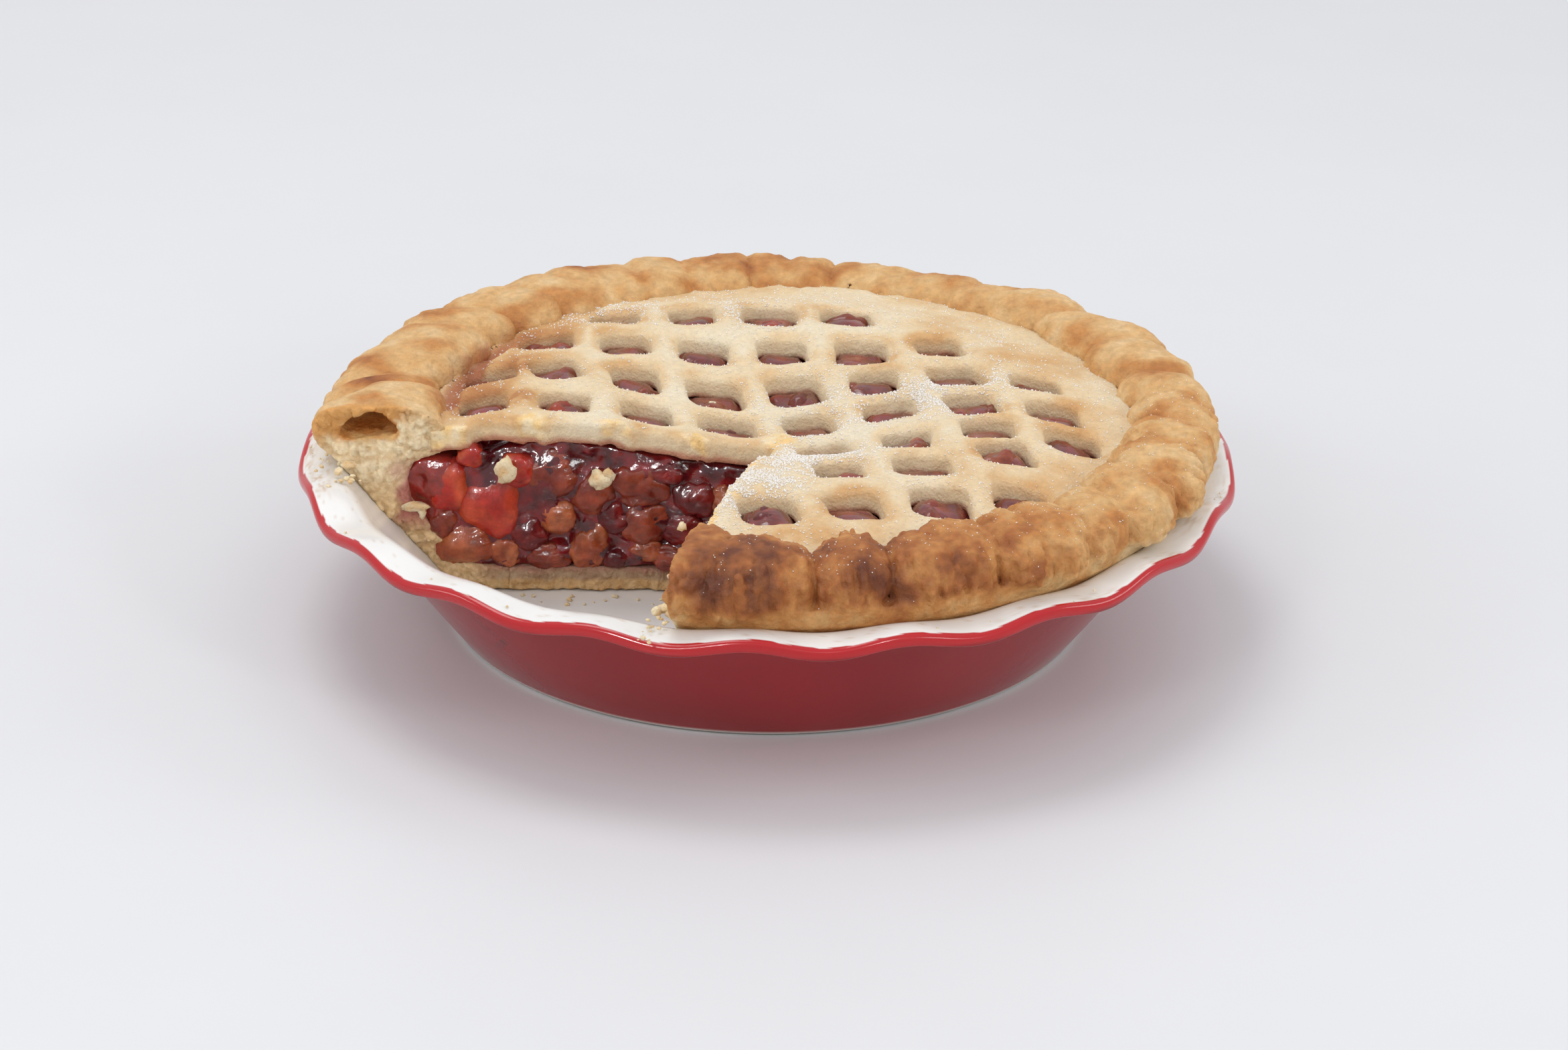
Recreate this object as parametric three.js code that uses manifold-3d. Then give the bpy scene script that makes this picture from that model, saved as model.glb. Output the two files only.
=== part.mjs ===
// A lattice-topped cherry pie in its own fluted, glazed pie dish, with one slice taken out.
//
// Units are millimetres and +Z is up. The origin is the centre of the dish's foot, on the surface
// that the dish stands on. The missing slice opens towards -X and -Y.
//
// The pie is four solids, each with its own material:
//   pie_dish         the stoneware dish, a lathed wall whose flange is waved by flutes
//   pastry_shell     the base, the sides and the thick rolled edge, which are one piece of dough
//   cherry_filling   the set filling, from the base up to just under the lattice
//   lattice_top      one sheet of dough with rounded openings, sunk in the middle
// Neighbours keep a small gap, and one slice is cut from the last three.

import * as THREE from "three";
import { mergeVertices } from "three/addons/utils/BufferGeometryUtils.js";
import Module from "manifold-3d";

const wasm = await Module();
wasm.setup();

// ---------------------------------------------------------------- driving dimensions

const GAP = 0.35; // between neighbours that touch on the real pie

// The dish.
const RIM_RADIUS = 135; // to the middle of the fluted edge
const RIM_HEIGHT = 46.4; // top of the flange
const FOOT_RADIUS = 93.4;
const FOOT_RING_WIDTH = 8;
const FOOT_RECESS = 1.2; // how far the underside stands clear inside the foot ring
const FLOOR_TOP = 5; // inside floor of the dish
const LIP_RADIUS = 119; // where the flange turns down into the bowl
const FLOOR_RADIUS = 86; // flat part of the inside floor
const FLANGE_THICKNESS = 3.4;
const FLUTES = 20;
const FLUTE_OUT = 0.7; // the edge swings this far in and out,
const FLUTE_DOWN = 1.1; // and drops this far where it swings out
const FLUTE_PHASE = THREE.MathUtils.degToRad(277); // bearing of one outward swing

// The pastry.
const BASE_THICKNESS = 8;
const ROLL_INSIDE = 100; // mean inner radius of the rolled edge
const ROLL_OUTSIDE = 128;
const ROLL_TOP = 65.6;
const ROLL_BULGES = 15; // pairs of finger-pinched bulges round the edge
const BULGE_SIZE = 1.4;

// The lattice top.
const LATTICE_THICKNESS = 7;
const LATTICE_MIDDLE = 52; // height of its top at the middle
const LATTICE_RISE = 8; // how much higher it stands out towards the edge
const LATTICE_RISE_RADIUS = 62;
const LATTICE_DROP = 4.5; // how far it falls again into the groove beside the rolled edge
const LATTICE_DROP_START = 76;
const HOLE_PITCH_X = 23.5;
const HOLE_PITCH_Y = 23.3;
const HOLE_WIDTH = 14;
const HOLE_DEPTH = 14.5; // along Y
const HOLE_CORNER = 4.5;
const HOLE_MARGIN = 9.2; // least distance from the middle of an opening to the sheet's edge
const GRID_SHIFT = new THREE.Vector2(12, 2); // middle of the opening nearest the centre
const GRID_LEAN = -0.17; // columns lean by this share of their length
// First and last column of openings in each row, from the back row to the front one.
const HOLE_ROWS = [[3, -2, 1], [2, -3, 2], [1, -4, 3], [0, -4, 3], [-1, -4, 3], [-2, 0, 2], [-3, -1, 2]];
// Where the dough was pushed along Y as it was laid: x, y, the push and how far it spreads.
const PUSHES = [
  [-75, 40, 7, 22],
  [-18, 34, -5, 22],
  [28, 48, -3, 18],
  [42, 10, 5, 18],
  [88, 20, -5, 18],
  [68, -22, 6, 16],
  [71, -52, 13, 20],
  [4, -84, -12, 22],
];

// The missing slice.
const CUT_APEX = new THREE.Vector2(3, -14.5);
const CUT_LEFT = THREE.MathUtils.degToRad(180.3); // bearings of the two cut faces
const CUT_RIGHT = THREE.MathUtils.degToRad(255.3);

// The hollow inside the rolled edge, which opens on the left cut face.
const HOLLOW_WIDTH = 18;
const HOLLOW_HEIGHT = 10.5;
const HOLLOW_LENGTH = 46;
const HOLLOW_RADIUS = 112.5; // its distance to the left of the centre of the dish
const HOLLOW_LEVEL = 57.8;

// ---------------------------------------------------------------- helpers

const smooth = (t) => THREE.MathUtils.smoothstep(t, 0, 1);

// A closed geometry as a manifold-3d solid.
function solidOf(geometry) {
  const bare = geometry.clone();
  bare.deleteAttribute("normal");
  bare.deleteAttribute("uv");
  const merged = mergeVertices(bare, 1e-3);
  const mesh = new wasm.Mesh({
    numProp: 3,
    vertProperties: new Float32Array(merged.attributes.position.array),
    triVerts: new Uint32Array(merged.index.array),
  });
  return new wasm.Manifold(mesh);
}

// A manifold-3d solid as a geometry for a THREE.Mesh.
function geometryOf(solid) {
  const mesh = solid.getMesh();
  const geometry = new THREE.BufferGeometry();
  geometry.setAttribute("position", new THREE.BufferAttribute(mesh.vertProperties, 3));
  geometry.setIndex(new THREE.BufferAttribute(mesh.triVerts, 1));
  geometry.computeVertexNormals();
  return geometry;
}

// Moves every vertex of a geometry: warp(point) changes the Vector3 that it is given.
function warped(geometry, warp) {
  const position = geometry.attributes.position;
  const point = new THREE.Vector3();
  for (let i = 0; i < position.count; i += 1) {
    point.fromBufferAttribute(position, i);
    warp(point);
    position.setXYZ(i, point.x, point.y, point.z);
  }
  return geometry;
}

// Revolves [radius, height] pairs about Z. The profile starts on the axis at its lowest point.
function lathe(profile, segments) {
  const points = profile.map(([radius, height]) => new THREE.Vector2(radius, height));
  return new THREE.LatheGeometry(points, segments).rotateX(Math.PI / 2);
}

function material(name, color, roughness) {
  return new THREE.MeshStandardMaterial({ name, color, roughness, metalness: 0 });
}

// ---------------------------------------------------------------- the dish

// 0 inside the bowl, rising to 1 at the fluted edge.
const fluteShare = (radius) => smooth((radius - LIP_RADIUS + 6) / (RIM_RADIUS - LIP_RADIUS + 6));

// How far the flutes push the flange outwards at a point: 1 where it swings out, -1 where in.
const fluteSwing = (angle) => Math.cos(FLUTES * (angle - FLUTE_PHASE));

function dishGeometry() {
  const underside = RIM_HEIGHT - FLANGE_THICKNESS;
  const profile = [
    [0, FOOT_RECESS],
    [FOOT_RADIUS - FOOT_RING_WIDTH - 1.4, FOOT_RECESS],
    [FOOT_RADIUS - FOOT_RING_WIDTH, 0],
    [FOOT_RADIUS - 1, 0],
    [FOOT_RADIUS, 1],
    [LIP_RADIUS + 3, underside - 2.4],
    [RIM_RADIUS - 3, underside - 0.4],
    [RIM_RADIUS, underside + 1.8],
    [RIM_RADIUS - 1.6, RIM_HEIGHT + 0.1],
    [LIP_RADIUS + 3, RIM_HEIGHT - 0.1],
    [LIP_RADIUS, RIM_HEIGHT - 0.9],
    [LIP_RADIUS - 2.2, RIM_HEIGHT - 4],
    [FLOOR_RADIUS + 6, FLOOR_TOP + 5],
    [FLOOR_RADIUS + 3, FLOOR_TOP + 1.6],
    [FLOOR_RADIUS, FLOOR_TOP],
    [0, FLOOR_TOP],
  ];
  return warped(lathe(profile, FLUTES * 5), (p) => {
    const radius = Math.hypot(p.x, p.y);
    const share = fluteShare(radius) * (p.z > underside - 4 ? 1 : 0);
    const swing = fluteSwing(Math.atan2(p.y, p.x)) * share;
    const stretch = radius > 0 ? 1 + (FLUTE_OUT * swing) / radius : 1;
    p.set(p.x * stretch, p.y * stretch, p.z - FLUTE_DOWN * swing);
  });
}

// ---------------------------------------------------------------- the pastry shell

// The rolled edge isn't a true ring: it is wider on the left (-X) than on the right.
const rollInside = (angle) => ROLL_INSIDE + 4 * Math.cos(angle) + 2 * Math.sin(angle);

function rollOutside(angle) {
  const oval = 2.2 * Math.cos(2 * angle);
  return ROLL_OUTSIDE + oval - BULGE_SIZE * (1 - rollBulge(angle));
}

// 1 on top of a bulge and 0 in the crease between two, unevenly spaced.
function rollBulge(angle) {
  const uneven = 0.5 * Math.sin(2 * angle + 1) + 0.35 * Math.sin(5 * angle);
  return Math.sqrt(Math.abs(Math.sin(ROLL_BULGES * angle + uneven)));
}

function shellSolid() {
  const under = FLOOR_TOP + GAP;
  const base = FLOOR_TOP + BASE_THICKNESS;
  const seat = RIM_HEIGHT + FLUTE_DOWN + GAP; // clears the highest flute under the roll
  const profile = [
    [0, under],
    [FLOOR_RADIUS - 1, under],
    [FLOOR_RADIUS + 4.6, FLOOR_TOP + 5.2],
    [LIP_RADIUS - 3.2, RIM_HEIGHT - 3.8],
    [LIP_RADIUS - 1.4, RIM_HEIGHT],
    [LIP_RADIUS + 1, seat],
    [ROLL_OUTSIDE - 5, seat],
    [ROLL_OUTSIDE - 1.6, seat + 1.6],
    [ROLL_OUTSIDE, seat + 6],
    [ROLL_OUTSIDE - 1, seat + 10.5],
    [ROLL_OUTSIDE - 5, ROLL_TOP - 2.2],
    [ROLL_OUTSIDE - 11, ROLL_TOP],
    [ROLL_INSIDE + 11, ROLL_TOP - 0.6],
    [ROLL_INSIDE + 5.5, ROLL_TOP - 3.4],
    [ROLL_INSIDE + 1.6, ROLL_TOP - 7.4],
    [ROLL_INSIDE, ROLL_TOP - 11],
    [ROLL_INSIDE - 0.4, base + 36],
    [ROLL_INSIDE + 1, base + 29],
    [ROLL_INSIDE, base + 22],
    [ROLL_INSIDE - 6, base + 12],
    [ROLL_INSIDE - 14, base + 3],
    [ROLL_INSIDE - 20, base],
    [0, base],
  ];
  const geometry = warped(lathe(profile, 66), (p) => {
    const radius = Math.hypot(p.x, p.y);
    const inner = radius < 112;
    const start = inner ? seat - 6 : seat;
    if (p.z < start || radius < ROLL_INSIDE - 1) return;
    const angle = Math.atan2(p.y, p.x);
    const lift = smooth((p.z - start) / 6);
    const across = (radius - ROLL_INSIDE) / (ROLL_OUTSIDE - ROLL_INSIDE);
    const wanted = THREE.MathUtils.lerp(rollInside(angle), rollOutside(angle), across);
    const stretch = THREE.MathUtils.lerp(1, wanted / radius, lift);
    const sag = BULGE_SIZE * (1 - rollBulge(angle)) * smooth((p.z - seat - 8) / 6);
    p.set(p.x * stretch, p.y * stretch, p.z - sag);
  });
  return solidOf(geometry);
}

// A long egg-shaped pocket that follows the roll back from the left cut face.
function hollowSolid() {
  const egg = new THREE.SphereGeometry(0.5, 20, 12);
  egg.scale(HOLLOW_WIDTH, HOLLOW_LENGTH, HOLLOW_HEIGHT);
  egg.translate(-HOLLOW_RADIUS, CUT_APEX.y + 3, HOLLOW_LEVEL);
  return solidOf(egg);
}

// ---------------------------------------------------------------- the lattice top

// Height of the top of the lattice at a point.
function latticeHeight(x, y) {
  const radius = Math.hypot(x, y);
  const rise = LATTICE_RISE * smooth(radius / LATTICE_RISE_RADIUS);
  const fall = smooth((radius - LATTICE_DROP_START) / (ROLL_INSIDE - LATTICE_DROP_START));
  return LATTICE_MIDDLE + rise - LATTICE_DROP * fall;
}

// Radius of the sheet's edge, just inside the rolled edge.
const sheetRadius = (angle) => rollInside(angle) - 1.1;

// Middle of the opening in a column and a row.
function holeMiddle(column, row) {
  const x = GRID_SHIFT.x + HOLE_PITCH_X * column + GRID_LEAN * HOLE_PITCH_Y * row;
  const y = GRID_SHIFT.y + HOLE_PITCH_Y * row;
  const pushed = PUSHES.reduce((sum, [px, py, push, spread]) => {
    const away = Math.hypot(x - px, y - py) / spread;
    return sum + push * Math.exp(-away * away);
  }, 0);
  const middle = new THREE.Vector2(x, y + pushed);
  const farthest = sheetRadius(middle.angle()) - HOLE_MARGIN;
  return middle.clampLength(0, farthest);
}

function openings() {
  const middles = [];
  for (const [row, first, last] of HOLE_ROWS) {
    for (let column = first; column <= last; column += 1) middles.push(holeMiddle(column, row));
  }
  return middles;
}

// An upright bar that cuts one opening, with rounded corners.
function openingBar(middle) {
  const corners = [[1, 1], [-1, 1], [-1, -1], [1, -1]];
  const points = corners.flatMap(([sx, sy], quarter) =>
    [0.15, 0.85].map((step) => {
      const turn = ((quarter + step) * Math.PI) / 2;
      const x = middle.x + sx * (HOLE_WIDTH / 2 - HOLE_CORNER) + HOLE_CORNER * Math.cos(turn);
      const y = middle.y + sy * (HOLE_DEPTH / 2 - HOLE_CORNER) + HOLE_CORNER * Math.sin(turn);
      return new THREE.Vector2(x, y);
    }),
  );
  const bar = new THREE.ExtrudeGeometry(new THREE.Shape(points), { depth: 60, bevelEnabled: false });
  return solidOf(bar.translate(0, 0, 20));
}

function latticeSolid() {
  const rings = [0, 0.25, 0.45, 0.62, 0.8, 0.92, 1];
  const below = rings.map((share) => [share * ROLL_INSIDE, 0]);
  const above = rings.map((share) => [share * ROLL_INSIDE, 1]).reverse();
  const sheet = warped(lathe([...below, ...above], 40), (p) => {
    const angle = Math.atan2(p.y, p.x);
    const stretch = sheetRadius(angle) / ROLL_INSIDE;
    const x = p.x * stretch;
    const y = p.y * stretch;
    p.set(x, y, latticeHeight(x, y) - LATTICE_THICKNESS * (1 - p.z));
  });
  return openings().reduce((left, middle) => left.subtract(openingBar(middle)), solidOf(sheet));
}

// ---------------------------------------------------------------- the filling

function fillingSolid() {
  const base = FLOOR_TOP + BASE_THICKNESS;
  const sides = [
    [0, base + GAP],
    [ROLL_INSIDE - 20.4, base + GAP],
    [ROLL_INSIDE - 14.5, base + 3.3],
    [ROLL_INSIDE - 6.5, base + 12.2],
    [ROLL_INSIDE - 0.6, base + 22.2],
    [ROLL_INSIDE + 0.4, base + 29],
    [ROLL_INSIDE - 5, base + 33],
  ];
  const rings = 6;
  const top = [];
  for (let i = rings - 1; i >= 0; i -= 1) top.push([(i / rings) * (ROLL_INSIDE - 5), 100]);
  const lid = (x, y) => latticeHeight(x, y) - LATTICE_THICKNESS - 3 * GAP;
  const geometry = warped(lathe([...sides, ...top], 40), (p) => {
    if (p.z > base + 32) p.z = lid(p.x, p.y);
  });
  return solidOf(geometry);
}

// ---------------------------------------------------------------- the missing slice

function sliceSolid() {
  const reach = 220;
  const height = 120;
  const along = (bearing) =>
    new THREE.Vector2(Math.cos(bearing), Math.sin(bearing)).multiplyScalar(reach).add(CUT_APEX);
  const outline = new THREE.Shape([CUT_APEX, along(CUT_LEFT), along(CUT_RIGHT)]);
  const prism = new THREE.ExtrudeGeometry(outline, { depth: height, bevelEnabled: false });
  return solidOf(prism);
}

// ---------------------------------------------------------------- the object

const slice = sliceSolid();
const pieces = [
  ["pie_dish", dishGeometry(), material("glazed_stoneware", 0xb01c20, 0.15)],
  [
    "pastry_shell",
    geometryOf(shellSolid().subtract(slice).subtract(hollowSolid())),
    material("baked_crust", 0xc68a4c, 0.7),
  ],
  [
    "cherry_filling",
    geometryOf(fillingSolid().subtract(slice)),
    material("cherry_jelly", 0x6e1414, 0.2),
  ],
  [
    "lattice_top",
    geometryOf(latticeSolid().subtract(slice)),
    material("pale_crust", 0xe6c896, 0.75),
  ],
];

const pie = new THREE.Group();
pie.name = "cherry_pie";
for (const [name, geometry, finish] of pieces) {
  const mesh = new THREE.Mesh(geometry, finish);
  mesh.name = name;
  pie.add(mesh);
}

export default pie;
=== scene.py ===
# %% [markdown]
# # A lattice-topped cherry pie in its own dish
#
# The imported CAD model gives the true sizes: a fluted stoneware dish, the pastry shell with its rolled
# edge, the filling and the lattice. This notebook gives each of them the surface of the real thing.
# Dough, jelly and fruit have no straight lines, so most pieces here are made from *distance fields*:
# a function says how far each point of space is from the surface, and a mesh is drawn where that
# distance is zero. Creases, crumbs and cuts are then only sums and maximums of simple functions.

# %% Load the frame
import math
import bpy
import numpy as np
from mathutils import Matrix, Quaternion, Vector


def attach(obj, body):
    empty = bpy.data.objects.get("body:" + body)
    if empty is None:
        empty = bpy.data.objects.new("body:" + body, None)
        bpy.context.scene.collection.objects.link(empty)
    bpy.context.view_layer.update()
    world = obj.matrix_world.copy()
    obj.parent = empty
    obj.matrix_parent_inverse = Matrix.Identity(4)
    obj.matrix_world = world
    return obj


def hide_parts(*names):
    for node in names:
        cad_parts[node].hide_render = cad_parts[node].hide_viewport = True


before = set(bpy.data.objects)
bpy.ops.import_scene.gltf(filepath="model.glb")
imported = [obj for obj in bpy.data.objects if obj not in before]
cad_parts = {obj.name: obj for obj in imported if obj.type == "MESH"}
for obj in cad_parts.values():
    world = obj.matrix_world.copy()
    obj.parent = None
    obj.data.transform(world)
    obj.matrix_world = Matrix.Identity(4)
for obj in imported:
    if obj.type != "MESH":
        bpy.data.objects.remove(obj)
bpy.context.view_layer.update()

# %% [markdown]
# ## Tools for organic shapes
#
# Gradient noise is the usual source of natural unevenness. It is written for whole arrays of points,
# because a crust needs it at hundreds of thousands of places. All lengths are in millimetres until
# a piece is handed to Blender.

# %% Noise
dice = np.random.default_rng(9)
SHUFFLE = dice.permutation(256)
SLOPES = dice.normal(size=(256, 3))
SLOPES = (SLOPES / np.linalg.norm(SLOPES, axis=1)[:, None]).astype(np.float32)


def smooth(t):
    t = np.clip(t, 0.0, 1.0)
    return t * t * (3 - 2 * t)


def noise(points, size, seed=0):
    """Gradient noise, about -1 to 1, whose bumps are about `size` wide."""
    place = points / size + seed * 17.31
    cell = np.floor(place).astype(np.int32)
    f = (place - cell).astype(np.float32)
    w = f * f * f * (f * (f * 6 - 15) + 10)
    total = np.zeros(len(points), np.float32)
    for i in (0, 1):
        a = SHUFFLE[(cell[:, 0] + i) & 255]
        wx = w[:, 0] if i else 1 - w[:, 0]
        for j in (0, 1):
            b = SHUFFLE[(a + cell[:, 1] + j) & 255]
            wy = wx * (w[:, 1] if j else 1 - w[:, 1])
            for k in (0, 1):
                slope = SLOPES[SHUFFLE[(b + cell[:, 2] + k) & 255]]
                rise = sum(slope[:, n] * (f[:, n] - corner) for n, corner in enumerate((i, j, k)))
                total += wy * (w[:, 2] if k else 1 - w[:, 2]) * rise
    return total * 1.7


# %% [markdown]
# A surface net walks over a grid of cells. Where a cell has corners both inside and outside the
# shape it gets one vertex, and every grid edge that crosses the surface gets one four-sided face.
# The mesh is closed and even, which suits dough better than slicing up a primitive would.

# %% Surface net
CORNERS = [(i, j, k) for i in (0, 1) for j in (0, 1) for k in (0, 1)]


def surface_net(field, low, high, pitch):
    """Points and four-sided faces of the surface where field(points) is zero. Negative is inside."""
    low = np.array(low, float)
    count = np.ceil((np.array(high, float) - low) / pitch).astype(int) + 1
    axes = [low[i] + pitch * np.arange(count[i]) for i in range(3)]
    grid = np.stack(np.meshgrid(*axes, indexing="ij"), -1).reshape(-1, 3)
    value = field(grid).reshape(count)
    inside = value < 0
    nx, ny, nz = count - 1
    filled = sum(inside[i:i + nx, j:j + ny, k:k + nz].astype(np.uint8) for i, j, k in CORNERS)
    active = (filled > 0) & (filled < 8)
    cells = np.argwhere(active)
    number = np.full(active.shape, -1)
    number[active] = np.arange(len(cells))
    at = np.stack([value[cells[:, 0] + i, cells[:, 1] + j, cells[:, 2] + k] for i, j, k in CORNERS], 1)
    # each cell's vertex is the mean of the places where the surface crosses its edges
    place, hits = np.zeros((len(cells), 3)), np.zeros(len(cells))
    for a, corner in enumerate(CORNERS):
        for axis in range(3):
            if corner[axis]:
                continue
            b = a + (4, 2, 1)[axis]
            crosses = (at[:, a] < 0) != (at[:, b] < 0)
            share = np.where(crosses, at[:, a] / np.where(crosses, at[:, a] - at[:, b], 1), 0)
            step = np.zeros((len(cells), 3))
            step[:] = corner
            step[:, axis] += share
            place += step * crosses[:, None]
            hits += crosses
    points = low + pitch * (cells + place / hits[:, None])
    # one short step along the slope puts it on the surface itself
    small = 0.3 * pitch
    here = field(points)
    slope = np.stack([field(points + small * np.eye(3)[i]) - here for i in range(3)], 1) / small
    steep = np.maximum((slope**2).sum(1), 0.05)
    move = slope * (here / steep)[:, None]
    length = np.linalg.norm(move, axis=1)
    points -= move * np.minimum(1, 0.45 * pitch / np.maximum(length, 1e-9))[:, None]
    # each grid edge that crosses the surface gets a face between the four cells round it
    faces = []
    for axis in range(3):
        u, v = (axis + 1) % 3, (axis + 2) % 3
        first, second = [slice(None)] * 3, [slice(None)] * 3
        first[axis], second[axis] = slice(0, -1), slice(1, None)
        crossing = inside[tuple(first)] != inside[tuple(second)]
        edges = np.argwhere(crossing)
        around = edges[:, [u, v]]
        edges = edges[((around > 0) & (around < count[[u, v]] - 1)).all(1)]
        ring = []
        for du, dv in ((-1, -1), (0, -1), (0, 0), (-1, 0)):
            cell = edges.copy()
            cell[:, u] += du
            cell[:, v] += dv
            ring.append(number[cell[:, 0], cell[:, 1], cell[:, 2]])
        quad = np.stack(ring, 1)
        outward = inside[edges[:, 0], edges[:, 1], edges[:, 2]]
        quad[~outward] = quad[~outward][:, ::-1]
        faces.append(quad)
    return points, np.concatenate(faces)


def join_max(a, b, round_by):
    """The larger of two distances with the edge between them rounded: what both shapes share."""
    h = np.maximum(round_by - np.abs(a - b), 0) / round_by
    return np.maximum(a, b) + h * h * round_by * 0.25


def join_min(a, b, round_by):
    """The smaller of two distances with the corner between them filled: both shapes together."""
    return -join_max(-a, -b, round_by)


# %% [markdown]
# Each piece goes into Blender in metres, rides on the CAD body and carries its finish. Its colour
# can differ from vertex to vertex: browning, glaze, fruit and some painted shade and light are painted
# on the mesh itself with an attribute, and the material adds the grain that is finer than the mesh.

# %% Pieces
triangle_count = {}


def add_piece(name, points, faces, finish, stands_for=(), tint=None):
    mesh = bpy.data.meshes.new(name)
    points = np.asarray(points, float) / 1000
    faces = np.asarray(faces)
    sides = faces.shape[1]
    mesh.vertices.add(len(points))
    mesh.vertices.foreach_set("co", points.ravel().astype(np.float32))
    mesh.loops.add(faces.size)
    mesh.loops.foreach_set("vertex_index", faces.ravel().astype(np.int32))
    mesh.polygons.add(len(faces))
    mesh.polygons.foreach_set("loop_start", np.arange(0, faces.size, sides, dtype=np.int32))
    mesh.update(calc_edges=True)
    mesh.validate()
    mesh.polygons.foreach_set("use_smooth", np.ones(len(mesh.polygons), bool))
    if tint is not None:
        layer = mesh.color_attributes.new("tint", "FLOAT_COLOR", "POINT")
        rgba = np.ones((len(points), 4), np.float32)
        rgba[:, :3] = np.clip(tint, 0, 1)
        layer.data.foreach_set("color", rgba.ravel())
    mesh.materials.append(finish)
    piece = bpy.data.objects.new(name, mesh)
    bpy.context.scene.collection.objects.link(piece)
    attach(piece, "root")
    if stands_for:
        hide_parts(*stands_for)
    triangle_count[name] = len(faces) * (sides - 2)
    print(f"{name}: {len(points)} points, {triangle_count[name]} triangles")
    return piece


def carve(name, field, low, high, pitch, finish, node, tint):
    """Meshes a field inside a box and adds it as a piece that stands for one CAD node."""
    points, faces = surface_net(field, low, high, pitch)
    return add_piece(name, points, faces, finish, [node], tint(points))


def mix(a, b, share):
    """Colours between a and b; share is one number for each point."""
    return np.asarray(a) * (1 - share[:, None]) + np.asarray(b) * share[:, None]


def ramp(stops, value):
    """Colours along a list of (value, colour) stops."""
    at = [stop[0] for stop in stops]
    return np.stack([np.interp(value, at, [stop[1][i] for stop in stops]) for i in range(3)], 1)


# %% [markdown]
# ## Materials
#
# One small helper makes a Principled shader. Its base colour comes from the painted attribute,
# multiplied by a fine mottling, and its bump comes from one or two noises at the scale of the real
# grain. Glaze, dough, jelly and sugar then differ only in their numbers.

# %% Material helper
def make_finish(name, base=None, mottle=None, bumps=(), **settings):
    """A Principled material. mottle is (scale, darkest, brightest); bumps are (scale, height in metres)."""
    material = bpy.data.materials.new(name)
    material.use_nodes = True
    nodes, links = material.node_tree.nodes, material.node_tree.links
    shader = nodes["Principled BSDF"]
    for socket, value in settings.items():
        shader.inputs[socket.replace("_", " ")].default_value = value
    where = nodes.new("ShaderNodeTexCoord").outputs["Object"]

    def grain(scale, detail, roughness=0.5):
        texture = nodes.new("ShaderNodeTexNoise")
        for socket, value in (("Scale", scale), ("Detail", detail), ("Roughness", roughness)):
            texture.inputs[socket].default_value = value
        links.new(where, texture.inputs["Vector"])
        return texture.outputs["Fac"]

    if base is None:
        colour = nodes.new("ShaderNodeAttribute")
        colour.attribute_name = "tint"
        source = colour.outputs["Color"]
    else:
        shader.inputs["Base Color"].default_value = (*base, 1)
        source = None
    if mottle:
        scale, dark, bright = mottle
        spread = nodes.new("ShaderNodeMapRange")
        for socket, value in (("From Min", 0.3), ("From Max", 0.7), ("To Min", dark), ("To Max", bright)):
            spread.inputs[socket].default_value = value
        links.new(grain(scale, 5, 0.65), spread.inputs["Value"])
        times = nodes.new("ShaderNodeMix")
        times.data_type = "RGBA"
        times.blend_type = "MULTIPLY"
        times.inputs["Factor"].default_value = 1
        if source is not None:
            links.new(source, times.inputs["A"])
        else:
            times.inputs["A"].default_value = (*base, 1)
        links.new(spread.outputs["Result"], times.inputs["B"])
        source = times.outputs["Result"]
    if source is not None:
        links.new(source, shader.inputs["Base Color"])
    normal = None
    for scale, height in bumps:
        bump = nodes.new("ShaderNodeBump")
        bump.inputs["Distance"].default_value = height
        links.new(grain(scale, 4), bump.inputs["Height"])
        if normal is not None:
            links.new(normal, bump.inputs["Normal"])
        normal = bump.outputs["Normal"]
    if normal is not None:
        links.new(normal, shader.inputs["Normal"])
    return material


def soft(weight, depth, scale=0.5):
    """Settings that let light sink in; depth is how far red, green and blue go, in metres."""
    return dict(Subsurface_Weight=weight, Subsurface_Radius=depth, Subsurface_Scale=scale)


crust_finish = make_finish(
    "baked_dough", mottle=(420, 0.8, 1.12), bumps=((900, 0.0005), (300, 0.0006)),
    Roughness=0.6, Specular_IOR_Level=0.2, **soft(0.12, (0.004, 0.002, 0.001)),
)
crumb_finish = make_finish(
    "pale_crumb", mottle=(700, 0.86, 1.1), bumps=((1200, 0.0006),),
    Roughness=0.8, **soft(0.25, (0.004, 0.003, 0.002)),
)
lattice_finish = make_finish(
    "sugared_dough", mottle=(650, 0.9, 1.07), bumps=((1500, 0.0004), (420, 0.0005)),
    Roughness=0.6, Specular_IOR_Level=0.3, **soft(0.2, (0.005, 0.003, 0.0015)),
)
cherry_finish = make_finish(
    "glazed_cherry", mottle=(260, 0.6, 1.35), bumps=((1300, 0.00008), (420, 0.00030)),
    Roughness=0.3, Specular_IOR_Level=0.2, Coat_Weight=0.5, Coat_Roughness=0.05,
    **soft(0.2, (0.006, 0.0010, 0.0005), 0.4),
)
jelly_finish = make_finish(
    "ruby_jelly", mottle=(200, 0.6, 1.5), bumps=((1000, 0.0001), (300, 0.0004)),
    Roughness=0.1, Specular_IOR_Level=0.4, Coat_Weight=0.6, Coat_Roughness=0.04,
    **soft(0.2, (0.006, 0.0008, 0.0005)),
)
sugar_finish = make_finish("sugar", base=(0.92, 0.885, 0.84), mottle=(900, 0.95, 1.05), Roughness=0.25)

# %% [markdown]
# ## Shared shape of the pie
#
# These few functions say where the rolled edge runs, how high the lattice stands and where its
# openings are. They began as the CAD model's formulas, and some were then moved by a few millimetres
# to come closer to the real pie, so the fine pieces follow the solids but don't lie exactly on them.

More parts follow.
